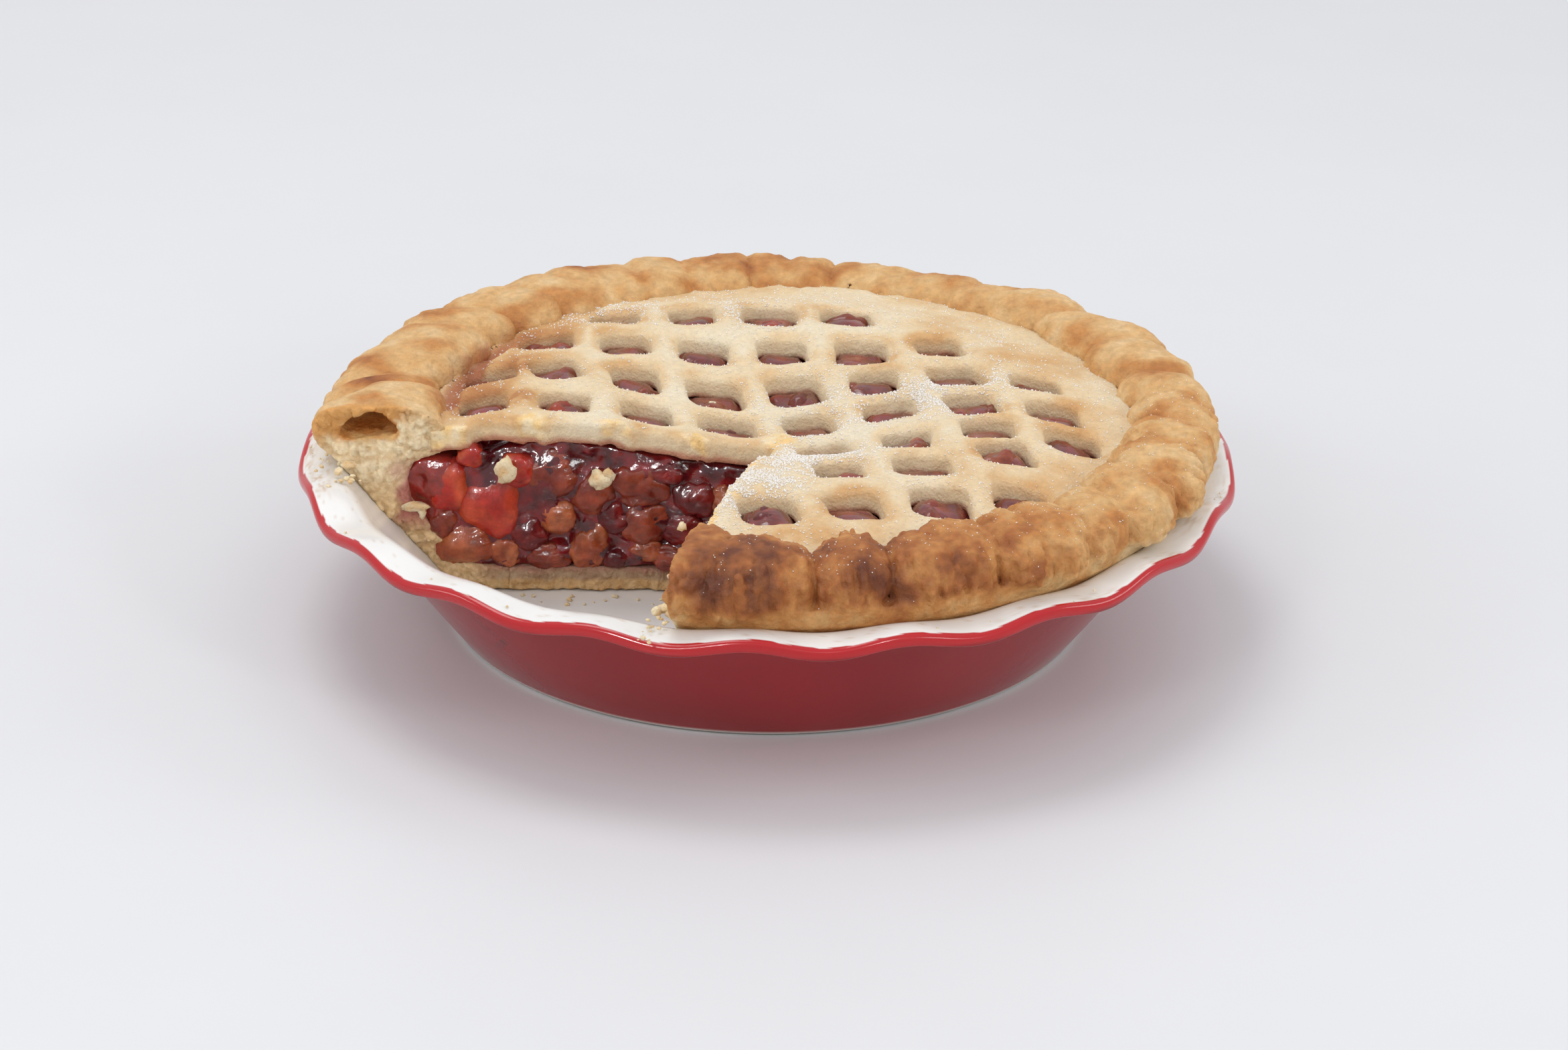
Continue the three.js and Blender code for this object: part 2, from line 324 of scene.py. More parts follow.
# %% Outlines
CUT_APEX = (3.0, -14.5)
CUT_LEFT, CUT_RIGHT = math.radians(180.3), math.radians(255.3)
SEAT = 47.85  # where the rolled edge rests on the flange
CEILING = 65.2  # nothing stands higher
ROLL_MIDDLE = 115  # radius at which bearings are turned into millimetres along the roll
DOUGH_FLOOR, JELLY_FLOOR = 14.3, 14.2


def away_from(angle, bearing):
    """The turn in radians, -pi to pi, from a bearing in degrees."""
    return (angle - math.radians(bearing) + math.pi) % (2 * math.pi) - math.pi


def at_the_back(angle):
    """1 at the back of the pie, fading to 0 at both sides."""
    return np.exp(-(((angle - math.radians(88)) / 0.55) ** 2))


def at_the_front(angle):
    """1 at the front, right of the cut, fading to 0 at both sides."""
    return np.exp(-(((angle - math.radians(-65)) / 0.62) ** 2))


def roll_inside(angle):
    return 100 + 4 * np.cos(angle) + 2 * np.sin(angle) + 2.5 * at_the_back(angle)


def roll_outside(angle):
    at_the_left = np.exp(-(((np.abs(angle) - math.pi) / 0.4) ** 2))
    return 128 + 2.2 * np.cos(2 * angle) - 3.2 * at_the_left


def lattice_height(x, y):
    radius = np.hypot(x, y)
    return 52.4 + 8 * smooth(radius / 62) - 4.5 * smooth((radius - 76) / 24) + 1.6 * smooth((y - 35) / 55)


# x, y, how far openings near it are pushed back, and how near
PUSHES = [
    (-75, 40, 7, 22), (-18, 34, -5, 22), (28, 48, -3, 18), (42, 10, 5, 18), (88, 20, -5, 18),
    (68, -22, 6, 16), (71, -52, 13, 20), (4, -84, -12, 22),
]
COLUMN_STEP, ROW_STEP = 23.5, 23.3  # from one opening to the next
HOLE_ROWS = [(3, -2, 1), (2, -3, 2), (1, -4, 3), (0, -4, 3), (-1, -4, 3), (-2, 0, 2), (-3, -1, 2)]
opening_middles = []
for row, first, last in HOLE_ROWS:
    for column in range(first, last + 1):
        x = 12 + COLUMN_STEP * column - 0.17 * ROW_STEP * row
        y = 2 + ROW_STEP * row
        y += sum(
            push * math.exp(-((x - px) ** 2 + (y - py) ** 2) / spread**2) for px, py, push, spread in PUSHES
        )
        angle = math.atan2(y, x)
        farthest = float(roll_inside(angle)) - 1.1 - 9.2
        shrink = min(1, farthest / math.hypot(x, y))
        opening_middles.append((x * shrink, y * shrink))
print(len(opening_middles), "openings")


def cut_distances(points):
    """How far a point is past the plane of the left cut and that of the right cut."""
    x, y = points[:, 0] - CUT_APEX[0], points[:, 1] - CUT_APEX[1]
    left = math.cos(CUT_LEFT) * y - math.sin(CUT_LEFT) * x
    return left, x * math.sin(CUT_RIGHT) - y * math.cos(CUT_RIGHT)


def slice_depth(points):
    """How far inside the missing slice a point is, in millimetres; negative is in the pie."""
    return np.minimum(*cut_distances(points))


# %% [markdown]
# ## The rolled edge
#
# Spare dough is rolled under and pinched between two fingers, so the edge is a fat uneven rope with
# deep creases where the pinches were. Each crease has its own bearing, depth, width and lean. The
# left cut end is hollow, because steam parted the layers there, and both cut ends are crumbly.

# %% Rolled edge
# bearing in degrees, depth, width and lean of each crease
CREASES = [
    (264, 1.6, 2.5, 0.3), (276, 4.2, 3.6, 0.1), (286.5, 4.4, 3.4, 0.35), (294, 1.6, 2.6, -0.3),
    (301.5, 3.6, 3.8, 0.35), (308, 2.0, 2.4, 0.2), (315.5, 3.4, 3.6, 0.5), (324, 3.0, 3.0, 0.7),
    (334, 2.4, 3.4, 0.5), (344, 2.4, 3.0, 0.6), (353, 3.6, 3.8, 0.9), (2, 2.0, 3.0, 0.8),
    (11, 3.2, 4.2, 0.9), (24, 2.2, 4.2, 0.8), (38, 3.0, 4.8, 0.9), (50, 1.2, 3.0, 0.5),
    (57, 2.6, 4.0, 0.6), (67, 0.9, 2.0, 0.2), (80, 2.0, 1.0, 0.0), (87, 0.7, 1.2, 0.2),
    (93.5, 1.5, 0.9, 0.0), (98, 0.6, 1.4, -0.2), (103.5, 1.3, 0.9, 0.0), (112, 1.4, 1.2, -0.1),
    (118, 0.9, 1.6, -0.3), (124, 1.6, 2.4, -0.4), (131, 2.2, 3.0, -0.5), (137, 1.2, 2.4, -0.5),
    (142, 2.8, 3.6, -0.7), (150, 3.2, 4.2, -0.9), (158, 1.4, 3.0, -0.8), (164, 1.2, 2.6, -0.8),
    (170.5, 2.6, 3.4, -0.9), (177, 2.4, 3.0, -0.9),
]


def crease_depth(points):
    """Depth of the creases at each point of the roll."""
    x, y, z = points.T
    angle = np.arctan2(y, x)
    across = np.hypot(x, y) - roll_inside(angle) - 14
    wobble = 1.2 * noise(points, 9, 6) + 0.5 * noise(points, 3.5, 7)
    depth = np.zeros(len(points))
    for bearing, deep, wide, lean in CREASES:
        away = away_from(angle, bearing) * ROLL_MIDDLE + lean * across * 0.55
        away = away - 0.25 * lean * (z - 56) + wobble
        sharp, broad = np.exp(-np.abs(away) / (0.8 * wide)), np.exp(-((away / (2.8 * wide)) ** 2))
        depth += deep * (0.6 * sharp + 0.5 * broad)
    return depth


STEAM_HOLE = (26.0, 104.5, 57.0)  # a small hole that steam blew through the back of the roll


def roll_field(points):
    x, y, z = points.T
    radius, angle = np.hypot(x, y), np.arctan2(y, x)
    inside, outside = roll_inside(angle) - 3.5 * at_the_front(angle), roll_outside(angle)
    middle, half = (inside + outside) / 2, (outside - inside) / 2 + 0.5
    swell = 0.8 * np.sin(3 * angle + 1) + 0.5 * np.sin(7 * angle + 2)
    swell = swell - 3.6 * at_the_back(angle) + 2.4 * at_the_front(angle)
    level, tall = SEAT + 7.3 + 0.25 * swell, 8.9 + 0.5 * swell
    flat = ((np.abs(radius - middle) / half) ** 2.3 + (np.abs(z - level) / tall) ** 2.3) ** (1 / 2.3)
    d = (flat - 1) * tall * np.clip(1.25 - 0.25 * flat, 0.6, 1.2)
    near = np.abs(d) < 7
    p = points[near]
    run = ((angle[near] - math.radians(218)) % (2 * math.pi)) * ROLL_MIDDLE
    polar = np.stack([run, (radius - inside)[near], z[near]], 1)
    front = smooth((math.radians(70) - np.abs(away_from(angle[near], 300))) / 0.4)
    stretched = polar / np.array([1.0, 3.4, 3.4])
    wrinkle = np.abs(noise(stretched, 3.6, 3)) + 0.5 * np.abs(noise(stretched, 1.9, 8)) * front
    flakes = np.abs(noise(polar / np.array([1.6, 1, 1]), 4.2, 9)) * smooth(noise(p, 16, 10) + 0.35)
    lumps = 1.1 * noise(p, 17, 1) + 0.3 * noise(p, 7.5, 2)
    lumps = lumps + 1.1 * noise(polar * np.array([1, 0.15, 0.15]), 21, 14)
    fine = 0.2 * noise(p, 2.4, 5) * (0.6 + front)
    d = d.astype(float)
    carving = crease_depth(p) * (1 + 0.35 * front) - 1.2 - lumps - fine
    d[near] += carving - (0.6 + 0.9 * front) * (wrinkle - 0.4) - 0.8 * (flakes - 0.2)
    hole = 1.5 + 0.3 * np.sin(2 * x + z) - np.linalg.norm(points - np.array(STEAM_HOLE), axis=1)
    d = join_max(np.maximum(d, hole), z - CEILING, 3.0)
    return join_max(d, SEAT - 0.6 - z + 0.25 * np.sin(radius), 2.5)


# heights and the radius of the dough's outside and inside at each
WALL_OUTSIDE = (
    [6.8, 9.2, 12.6, 27.5, 41.2, 43.9, 46, 50],
    [86.8, 91.7, 95.4, 107.6, 118.8, 121.0, 122.8, 123.4],
)
WALL_INSIDE = [5, 13, 16, 25, 35, 42, 50], [79, 79.5, 87, 96, 103, 104, 101]


def side_wall_field(points):
    """The dough that lines the wall and the floor of the dish."""
    x, y, z = points.T
    radius = np.hypot(x, y)
    outer, inner = np.interp(z, *WALL_OUTSIDE), np.interp(z, *WALL_INSIDE)
    wall = np.maximum(np.maximum(radius - outer, inner - radius) * 0.8, z - 51)
    floor = np.maximum(z - DOUGH_FLOOR, radius - 88)
    return np.maximum(join_min(wall, floor, 3), 7.0 - z)


# %% [markdown]
# The cut doesn't leave a clean plane. Crumb breaks off in grains of two or three millimetres, and
# the whole face steps in and out a little more than that. The hollow is an egg-shaped pocket that
# runs back into the roll from the left face.

# %% Cut ends
def ragged(points):
    """The surface of the cut, with broken grains and a bulge low on the left face."""
    x, y, z = points.T
    grain = 1.5 * np.abs(noise(points, 3.8, 12)) + 0.9 * np.abs(noise(points, 1.8, 13))
    bulge = 2.6 * np.exp(-(((x + 111) / 11) ** 2) - ((z - 40) / 13) ** 2) * (y > -40)
    return slice_depth(points) - grain - 1.2 * noise(points, 9, 11) - bulge + 0.9


def hollow_field(points):
    across = points[:, 0] + 114.0
    along = points[:, 1] - CUT_APEX[1] - 3
    up = points[:, 2] - 58.0 + 0.03 * across**2 - 0.06 * across
    egg = np.sqrt((across / 8.0) ** 2 + (along / 12) ** 2 + (up / 3.9) ** 2)
    return (egg - 1) * 3.9 + 0.6 * noise(points, 5, 21) + 0.3 * noise(points, 2, 22)


def pastry_field(points):
    d = join_min(roll_field(points), side_wall_field(points), 3)
    d = np.maximum(d, -hollow_field(points))
    near = slice_depth(points) > -6
    cut = np.full(len(points), -6.0)
    cut[near] = ragged(points[near])
    return join_max(d, cut, 1.2)


def within(field, *limits):
    """The field kept to one side of each limit, which is a function of the points (negative is kept)."""
    def limited(points):
        d = field(points)
        for limit in limits:
            d = np.maximum(d, limit(points))
        return d
    return limited


def groove(points):
    """Where syrup browned in the groove between the lattice and the edge, at the left."""
    angle = np.arctan2(points[:, 1], points[:, 0])
    away = np.abs(np.hypot(points[:, 0], points[:, 1]) - roll_inside(angle) + 2.6)
    part = smooth((math.radians(24) - np.abs(angle - math.radians(160))) / 0.2)
    return smooth(1.3 - (away + 0.8 * noise(points, 4, 69)) / 3.6) * part


# browning of the dough, from raw and pale to nearly black
BAKE = [
    (0.0, (0.75, 0.55, 0.31)), (0.25, (0.66, 0.395, 0.165)), (0.5, (0.53, 0.235, 0.072)),
    (0.72, (0.35, 0.118, 0.034)), (1.0, (0.15, 0.044, 0.020)),
]
# bearing, height, strength and size of the dark places on the roll
SCORCHES = [
    (261.5, 59, 0.42, 8), (267, 60, 0.3, 8), (283, 62, 0.14, 10), (296, 60, 0.12, 8),
    (176, 61, 0.34, 6), (167, 60, 0.25, 6), (96, 61, 0.3, 9), (103, 60, 0.2, 7), (86, 62, 0.25, 6),
    (120, 61, 0.2, 7), (60, 60, 0.2, 7), (8, 62, 0.2, 6), (352, 58, 0.2, 6),
]


def floor_tint(points):
    level = points[:, 2] + 0.8 * noise(points, 6, 41)
    soaked = mix((0.40, 0.235, 0.13), (0.48, 0.32, 0.185), smooth(noise(points, 4, 42) + 0.5))
    golden = mix((0.60, 0.35, 0.135), (0.66, 0.43, 0.20), smooth(noise(points, 3, 43) + 0.5))
    colour = mix(golden, soaked, smooth((level - 9.6) / 1.6))
    return mix(colour, (0.36, 0.13, 0.09), 0.6 * smooth((level - 12.4) / 1.6))


def roll_tint(points):
    x, y, z = points.T
    angle = np.arctan2(y, x)
    radius = np.hypot(x, y)
    front_browning_and_shade = smooth((math.radians(58) - np.abs(away_from(angle, 275))) / 0.85)
    patches = 0.28 * smooth((noise(points, 14, 31) + 0.1) / 0.7)
    # The front of the roll is painted browner: partly the dough's own browning, partly painted shade on the
    # side away from the main light.
    bake = 0.15 + 0.38 * front_browning_and_shade + 0.12 * at_the_back(angle) + patches
    bake += (0.13 + 0.03 * front_browning_and_shade) * noise(points, 6, 32) + (0.05 + 0.06 * front_browning_and_shade) * noise(points, 2.2, 33)
    # Painted shade: the roll is painted darker in its creases, the more so the deeper they are.
    bake += 0.035 * np.minimum(crease_depth(points), 4)
    bake -= 0.22 * smooth((53.5 - z) / 5) * (1 - 0.2 * front_browning_and_shade)
    grainy = 1 + 0.5 * noise(points, 4, 34)
    for bearing, level, strength, size in SCORCHES:
        cx, cy = 117 * math.cos(math.radians(bearing)), 117 * math.sin(math.radians(bearing))
        away = ((x - cx) ** 2 + (y - cy) ** 2 + (z - level) ** 2) / size**2
        bake += strength * np.exp(-away) * grainy
    colour = ramp(BAKE, bake)
    crumb = smooth((slice_depth(points) + 2.6 + 0.7 * noise(points, 3, 35)) / 1.4)
    skin = smooth((roll_field(points) + 2.3) / 1.2) * smooth((z - 47) / 3)
    # Painted shade: the crumb of the cut ends is painted a darker tan in the hollows between its broken
    # grains.
    valley_shade = smooth(1 - 3.2 * np.abs(noise(points, 3.8, 12))) * 0.6
    valley_shade = valley_shade + smooth(1 - 3.2 * np.abs(noise(points, 1.8, 13))) * 0.4
    toasted = smooth((46 - z) / 10)
    pale = mix((0.88, 0.73, 0.48), (0.66, 0.45, 0.22), valley_shade)
    tan = mix((0.80, 0.57, 0.31), (0.58, 0.37, 0.17), valley_shade)
    colour = mix(colour, mix(pale, tan, toasted), crumb * (1 - skin))
    shell = smooth((roll_field(points) + 5.0) / 1.5) * smooth((z - 53) / 3) * smooth((-99 - x) / 8)
    colour = mix(colour, (0.66, 0.33, 0.10), 0.95 * shell * crumb)
    stain = smooth((110 + 4 * noise(points, 6, 38) - radius) / 6) * smooth((z - 24) / 8)
    stain = stain * smooth((50 - z) / 7)
    colour = mix(colour, (0.44, 0.13, 0.12), 0.85 * stain * crumb)
    colour = mix(colour, floor_tint(points), smooth((18 - z) / 4) * smooth((89 - radius) / 11))
    colour = mix(colour, (0.38, 0.12, 0.05), 0.8 * groove(points))
    pocket = smooth((1.2 - hollow_field(points)) / 1.0)
    amber = mix((0.62, 0.27, 0.07), (0.80, 0.50, 0.20), smooth(noise(points, 6, 37) + 0.3))
    return mix(colour, amber, pocket)


def bearing_between(points, first, last):
    """Negative where the bearing lies between two bearings in degrees."""
    away = away_from(np.arctan2(points[:, 1], points[:, 0]), (first + last) / 2)
    return (np.abs(away) - math.radians((last - first) / 2)) * ROLL_MIDDLE


for name, first, last, low, high, pitch in (
    ("rolled_edge_front", 254, 368, (-44, -134, 41), (134.5, 20, 66.4), 0.76),
    ("rolled_edge_back", 7, 183, (-134.5, -20, 41), (134.5, 134, 66.4), 1.15),
):
    part = within(
        pastry_field, lambda p: slice_depth(p) + 9, lambda p: 42 - p[:, 2],
        lambda p: bearing_between(p, first, last),
    )
    carve(name, part, low, high, pitch, crust_finish, "pastry_shell", roll_tint)

# %% [markdown]
# The knife left two faces of torn crumb, and the eye goes to the left one. Each face is a piece of its
# own with a finer grid, because the whole roll at that grid would be far too heavy.

# %% The two cut ends of the pastry
for name, low, high, end in (
    ("left_cut_end", (-134, -30, 4.5), (-73, 6, 66.4), lambda p: p[:, 0] + 74.2),
    ("right_cut_end", (-44, -133, 4.5), (3, -71, 66.4), lambda p: p[:, 1] + 73.7),
):
    part = within(pastry_field, lambda p: -10.5 - slice_depth(p), end)
    carve(name, part, low, high, 0.55, crust_finish, "pastry_shell", roll_tint)

# %% [markdown]
# The floor dough shows as a band under the fruit on both cut faces. Its lower half is golden where it
# touched the dish, and its upper half is grey and soaked. The rest of the dough that lines the dish
# is hidden, so a coarse grid is enough for it.

# %% Dough under the fruit
floor_part = within(
    pastry_field, lambda p: -9 - slice_depth(p), lambda p: -74.5 - p[:, 0], lambda p: -74 - p[:, 1],
)
carve("floor_dough_cut", floor_part, (-77, -77, 5.5), (15, -3, 16.5), 0.6,
      crumb_finish, "pastry_shell", floor_tint)
lining = within(side_wall_field, lambda p: slice_depth(p) + 8, lambda p: p[:, 2] - 43)
carve("hidden_lining", lining, (-120, -120, 3), (120, 120, 46), 4.2,
      crumb_finish, "pastry_shell", floor_tint)

# %% [markdown]
# ## The lattice
#
# The top is one sheet that a cutter has pierced with rounded openings. In the oven the strips
# between them puffed up, so each is round-backed and its walls slope in towards the fruit. A
# distance to the nearest opening, rounded off against the top of the sheet, gives exactly that.

# %% Lattice
HALF_WIDE, HALF_DEEP, CORNER = 7.6, 7.8, 3.6  # of an opening, in millimetres
opening_turns = dice.normal(0, 0.09, len(opening_middles))
opening_sizes = dice.normal(1.0, 0.05, (len(opening_middles), 2))


def opening_distance(points):
    """Distance in plan to the edge of the nearest opening, negative inside it."""
    warp = 0.9 * noise(points * np.array([1, 1, 0]), 11, 51)
    x, y = points[:, 0] + warp, points[:, 1] - 0.7 * warp
    nearest = np.full(len(points), 30.0)
    for (mx, my), turn, (wide, deep) in zip(opening_middles, opening_turns, opening_sizes):
        near = (np.abs(x - mx) < 20) & (np.abs(y - my) < 20)
        dx, dy = x[near] - mx, y[near] - my
        u = np.abs(dx * math.cos(turn) + dy * math.sin(turn) + 0.12 * dy) - (HALF_WIDE * wide - CORNER)
        v = np.abs(dy * math.cos(turn) - dx * math.sin(turn)) - (HALF_DEEP * deep - CORNER)
        d = np.hypot(np.maximum(u, 0), np.maximum(v, 0)) + np.minimum(np.maximum(u, v), 0) - CORNER
        nearest[near] = np.minimum(nearest[near], d)
    return nearest


# x, y and size of the places where a strip was torn off or crumbled
TORN = [(-67, -14.5, 4.2), (-43, -15.5, 4.5), (3, -11, 5.0), (-20, -15, 2.5), (-10, -66, 3.0)]


def torn_share(points):
    share = np.zeros(len(points))
    for tx, ty, size in TORN:
        share += np.exp(-(((points[:, 0] - tx) / size) ** 2) - ((points[:, 1] - ty) / size) ** 2)
    return np.clip(share, 0, 1)


def lattice_top_level(points, gap):
    flat = points * np.array([1, 1, 0])
    level = lattice_height(points[:, 0], points[:, 1]) + 0.9 * smooth(gap / 5) - 0.6 - 2.2 * groove(points)
    return level + 0.55 * noise(flat, 19, 52) + 0.25 * noise(flat, 6, 53)


def lattice_field(points):
    x, y, z = points.T
    d = np.full(len(points), 5.0)
    near = np.abs(z - lattice_height(x, y) + 3.2) < 7.5
    p = points[near]
    gap = opening_distance(p)
    top = lattice_top_level(p, gap)
    depth = top - p[:, 2]
    sheet = join_max(-depth, depth - 6.8, 2.0)
    wall = -gap - 0.11 * np.clip(depth, -1, 8) + 0.1
    body = join_max(sheet, wall, 2.0) - 0.1 * noise(p, 2.4, 54)
    radius, angle = np.hypot(p[:, 0], p[:, 1]), np.arctan2(p[:, 1], p[:, 0])
    body = np.maximum(body, radius - roll_inside(angle) - 1.5)
    body -= torn_share(p) * (1.6 * np.abs(noise(p, 3.4, 57)) + 0.9 * np.abs(noise(p, 1.9, 58)) - 0.1)
    broken = 1.0 * noise(p, 6.5, 55) + 0.9 * np.abs(noise(p, 2.6, 56))
    d[near] = join_max(body, slice_depth(p) - broken - 0.3, 1.0)
    return d


# browning of the lattice
GOLD = [
    (0.0, (0.79, 0.685, 0.50)), (0.35, (0.75, 0.575, 0.35)), (0.65, (0.65, 0.39, 0.17)),
    (1.0, (0.48, 0.21, 0.07)),
]
# x, y, strength and size of the browner places
TANNED = [
    (-73, 31, 0.6, 6), (-71, 3, 0.5, 6), (-88, 8, 0.35, 9), (-38, -12, 0.4, 6), (70, -62, 0.2, 14),
    (-78, 16, 0.25, 8), (6, -88, 0.4, 10), (-80, 50, 0.25, 12), (20, -70, 0.2, 9), (55, 45, 0.12, 14),
]


def lattice_tint(points):
    x, y, z = points.T
    gap = opening_distance(points)
    depth = lattice_top_level(points, gap) - z
    bake = 0.16 + 0.28 * noise(points, 24, 61) + 0.16 * noise(points, 8, 62) + 0.06 * noise(points, 3, 63)
    bake += 0.2 * smooth((np.hypot(x, y) - 60) / 30) + 0.12 * smooth((-x - 30) / 40)
    bake += 0.3 * np.exp(-(((gap - 1.4) / 1.7) ** 2)) * smooth(noise(points, 17, 64) + 0.45) * (depth < 2.5)
    grainy = 1 + 0.6 * noise(points, 3, 65)
    for tx, ty, strength, size in TANNED:
        bake += strength * np.exp(-((x - tx) ** 2 + (y - ty) ** 2) / size**2) * grainy
    colour = ramp(GOLD, bake)
    inner = smooth((depth - 1.0) / 2.5)
    colour = mix(colour, (0.78, 0.62, 0.40), 0.5 * inner)
    stain = smooth((depth - 4.2 + 1.0 * noise(points, 5, 66)) / 1.6)
    colour = mix(colour, (0.50, 0.15, 0.09), 0.75 * stain)
    crumb = smooth((slice_depth(points) + 1.8 + 0.8 * noise(points, 3, 67)) / 1.2) * smooth((gap - 0.8) / 1.0)
    crumb = np.maximum(crumb, smooth(2.2 * torn_share(points) - 0.5))
    yellow = mix((0.86, 0.58, 0.24), (0.86, 0.71, 0.47), smooth(noise(points, 4, 68) + 0.5))
    colour = mix(colour, yellow, crumb * (1 - stain))
    return mix(colour, (0.40, 0.12, 0.06), 0.8 * groove(points))


lattice = carve("lattice_dough", lattice_field, (-101, -103, 42), (109, 109, 65), 1.0,
                lattice_finish, "lattice_top", lattice_tint)

# %% [markdown]
# ## Fruit and jelly
#
# A cooked cherry is a soft ball with a dent where the stone came out, a fold down one side and a
# wrinkled skin. One function makes such a ball from a cube whose faces are blown up to a sphere,
# because that has no pinched poles. The fruit on the left cut is listed one by one, where it catches
# the eye, and the rest is packed at random.

# %% Cherries
def ball(steps):
    """Points and four-sided faces of a unit sphere made from a cube."""
    t = np.tan(np.linspace(-1, 1, steps + 1) * math.pi / 4)
    u, v = np.meshgrid(t, t, indexing="ij")
    ones = np.ones_like(u)
    sides = [(ones, u, v), (-ones, v, u), (v, ones, u), (u, -ones, v), (u, v, ones), (v, u, -ones)]
    points, faces = [], []
    for number, side in enumerate(sides):
        points.append(np.stack(side, -1).reshape(-1, 3))
        at = np.arange((steps + 1) ** 2).reshape(steps + 1, steps + 1) + number * (steps + 1) ** 2
        faces.append(np.stack([at[:-1, :-1], at[1:, :-1], at[1:, 1:], at[:-1, 1:]], -1).reshape(-1, 4))
    points = np.concatenate(points)
    points /= np.linalg.norm(points, axis=1)[:, None]
    _, first, merged = np.unique(np.round(points, 6), axis=0, return_index=True, return_inverse=True)
    return points[first], merged.reshape(-1)[np.concatenate(faces)]


def random_turn():
    return np.array(Quaternion(dice.normal(size=4)).normalized().to_matrix())


TONES = {
    "red": ((0.40, 0.022, 0.014), (0.58, 0.085, 0.032)),
    "brown": ((0.20, 0.026, 0.013), (0.34, 0.064, 0.027)),
    "amber": ((0.32, 0.060, 0.021), (0.47, 0.13, 0.046)),
    "dark": ((0.10, 0.006, 0.008), (0.24, 0.018, 0.014)),
}


def press(points, factor):
    """Scales by `factor` what lies beyond a line 3 mm inside the cut, as the knife's side does."""
    left, right = cut_distances(points)
    over = np.maximum(np.minimum(left, right) + 3, 0) * (factor - 1)
    moved = points.copy()
    moved[:, 0] += over * np.where(left < right, -math.sin(CUT_LEFT), math.sin(CUT_RIGHT))
    moved[:, 1] += over * np.where(left < right, math.cos(CUT_LEFT), -math.cos(CUT_RIGHT))
    return moved


PRESSED = 0.72  # how much of its height fruit keeps there


def cherry(ball_points, middle, radii, tone, seed, wrinkled):
    """Points and colours of one cherry; radii are its half sizes along X, Y and Z."""
    turn = random_turn()
    p = ball_points @ turn
    size = 1 + 0.24 * noise(p, 1.2, seed) + (0.06 + 0.1 * wrinkled) * noise(p, 0.55, seed + 1)
    size -= (0.03 + 0.12 * wrinkled) * np.abs(noise(p, 0.3, seed + 2))
    size -= 0.30 * np.exp(-((1 - p @ turn[0]) / 0.12))
    fold = np.abs(p @ turn[1]) / 0.10
    size -= 0.11 * np.exp(-fold) * smooth(p @ turn[2] * 2 + 0.6)
    shape = ball_points * size[:, None] * np.array(radii)
    deep, light = TONES[tone]
    share = smooth(0.45 + 0.8 * noise(p, 0.9, seed + 3) + 0.3 * noise(p, 0.35, seed + 4))
    colour = mix(deep, light, share)
    shape = press(shape + np.array(middle), PRESSED)
    if slice_depth(np.array([middle]))[0] > -12:
        sunk = smooth((0.5 - slice_depth(shape) + 0.9 * noise(p, 0.7, seed + 5)) / 3.6)
        colour = mix(colour, (0.085, 0.006, 0.009), 0.85 * sunk)
    else:
        colour = mix(colour, (0.15, 0.030, 0.016), np.full(len(colour), 0.6))
    return shape, colour


# x, z, half width, half height, tone and how wrinkled: the fruit seen on the left cut
LEFT_CUT_FRUIT = [
    (-79.7, 33.0, 9.9, 10.8, "red", 0.0), (-91.5, 38.5, 7.0, 8.5, "red", 0.2),
    (-61.8, 42.3, 8.5, 7.5, "brown", 0.6), (-49.8, 37.0, 7.4, 7.2, "brown", 0.3),
    (-37.0, 40.2, 9.8, 6.6, "brown", 0.9), (-59.9, 29.6, 5.4, 4.8, "amber", 0.5),
    (-50.3, 20.6, 6.4, 7.0, "amber", 1.0), (-35.6, 27.6, 8.4, 6.0, "brown", 1.0),
    (-86.0, 21.0, 9.6, 7.2, "amber", 0.7), (-74.9, 18.6, 4.8, 5.0, "amber", 0.6),
    (-34.5, 19.6, 4.4, 3.2, "amber", 0.6), (-62.5, 17.8, 6.2, 3.8, "brown", 0.8),
    (-20.8, 35.6, 6.6, 6.2, "dark", 0.4), (-13.5, 35.6, 5.2, 4.6, "amber", 0.9),
    (-27.0, 17.6, 6.0, 3.8, "brown", 0.8), (-71.5, 44.0, 6.0, 5.0, "red", 0.4),
    (-84.4, 48.6, 4.2, 3.6, "red", 0.2), (-68.5, 24.5, 5.5, 5.0, "dark", 0.3),
    (-43.5, 29.0, 5.0, 5.0, "dark", 0.2), (-24.0, 26.0, 6.0, 5.0, "dark", 0.5),
    (-15.0, 24.0, 6.0, 5.5, "brown", 0.9), (-6.5, 33.0, 5.5, 5.0, "dark", 0.5),
    (-5.5, 21.0, 5.5, 4.6, "brown", 0.7), (-93.0, 27.5, 4.5, 5.0, "brown", 0.6),
    (-28.5, 43.5, 5.0, 3.6, "dark", 0.3), (-44.0, 17.0, 3.6, 3.0, "dark", 0.3),
]
fruit = []  # middle, radii, tone, wrinkled
for x, z, wide, tall, tone, wrinkled in LEFT_CUT_FRUIT:
    depth = 0.8 * min(wide, tall) + 1.5
    radii = (1.12 * wide, 0.9 * min(wide, tall) + 1.5, 1.12 * tall)
    fruit.append(((x, CUT_APEX[1] + depth - 3.2, z), radii, tone, wrinkled))
placed_by_hand = len(fruit)
print(len(fruit), "cherries placed by hand")

# %% [markdown]
# The other fruit shows less, so chance can place it: a spot is drawn, and a cherry goes there if it
# is clear of the others, under the lattice and inside the dough. Some lie along the right cut and some
# under each opening. All the cherries are then joined into one mesh, since they share one finish.

# %% The rest of the fruit
def jelly_level(x, y):
    return lattice_height(x, y) - 7.6


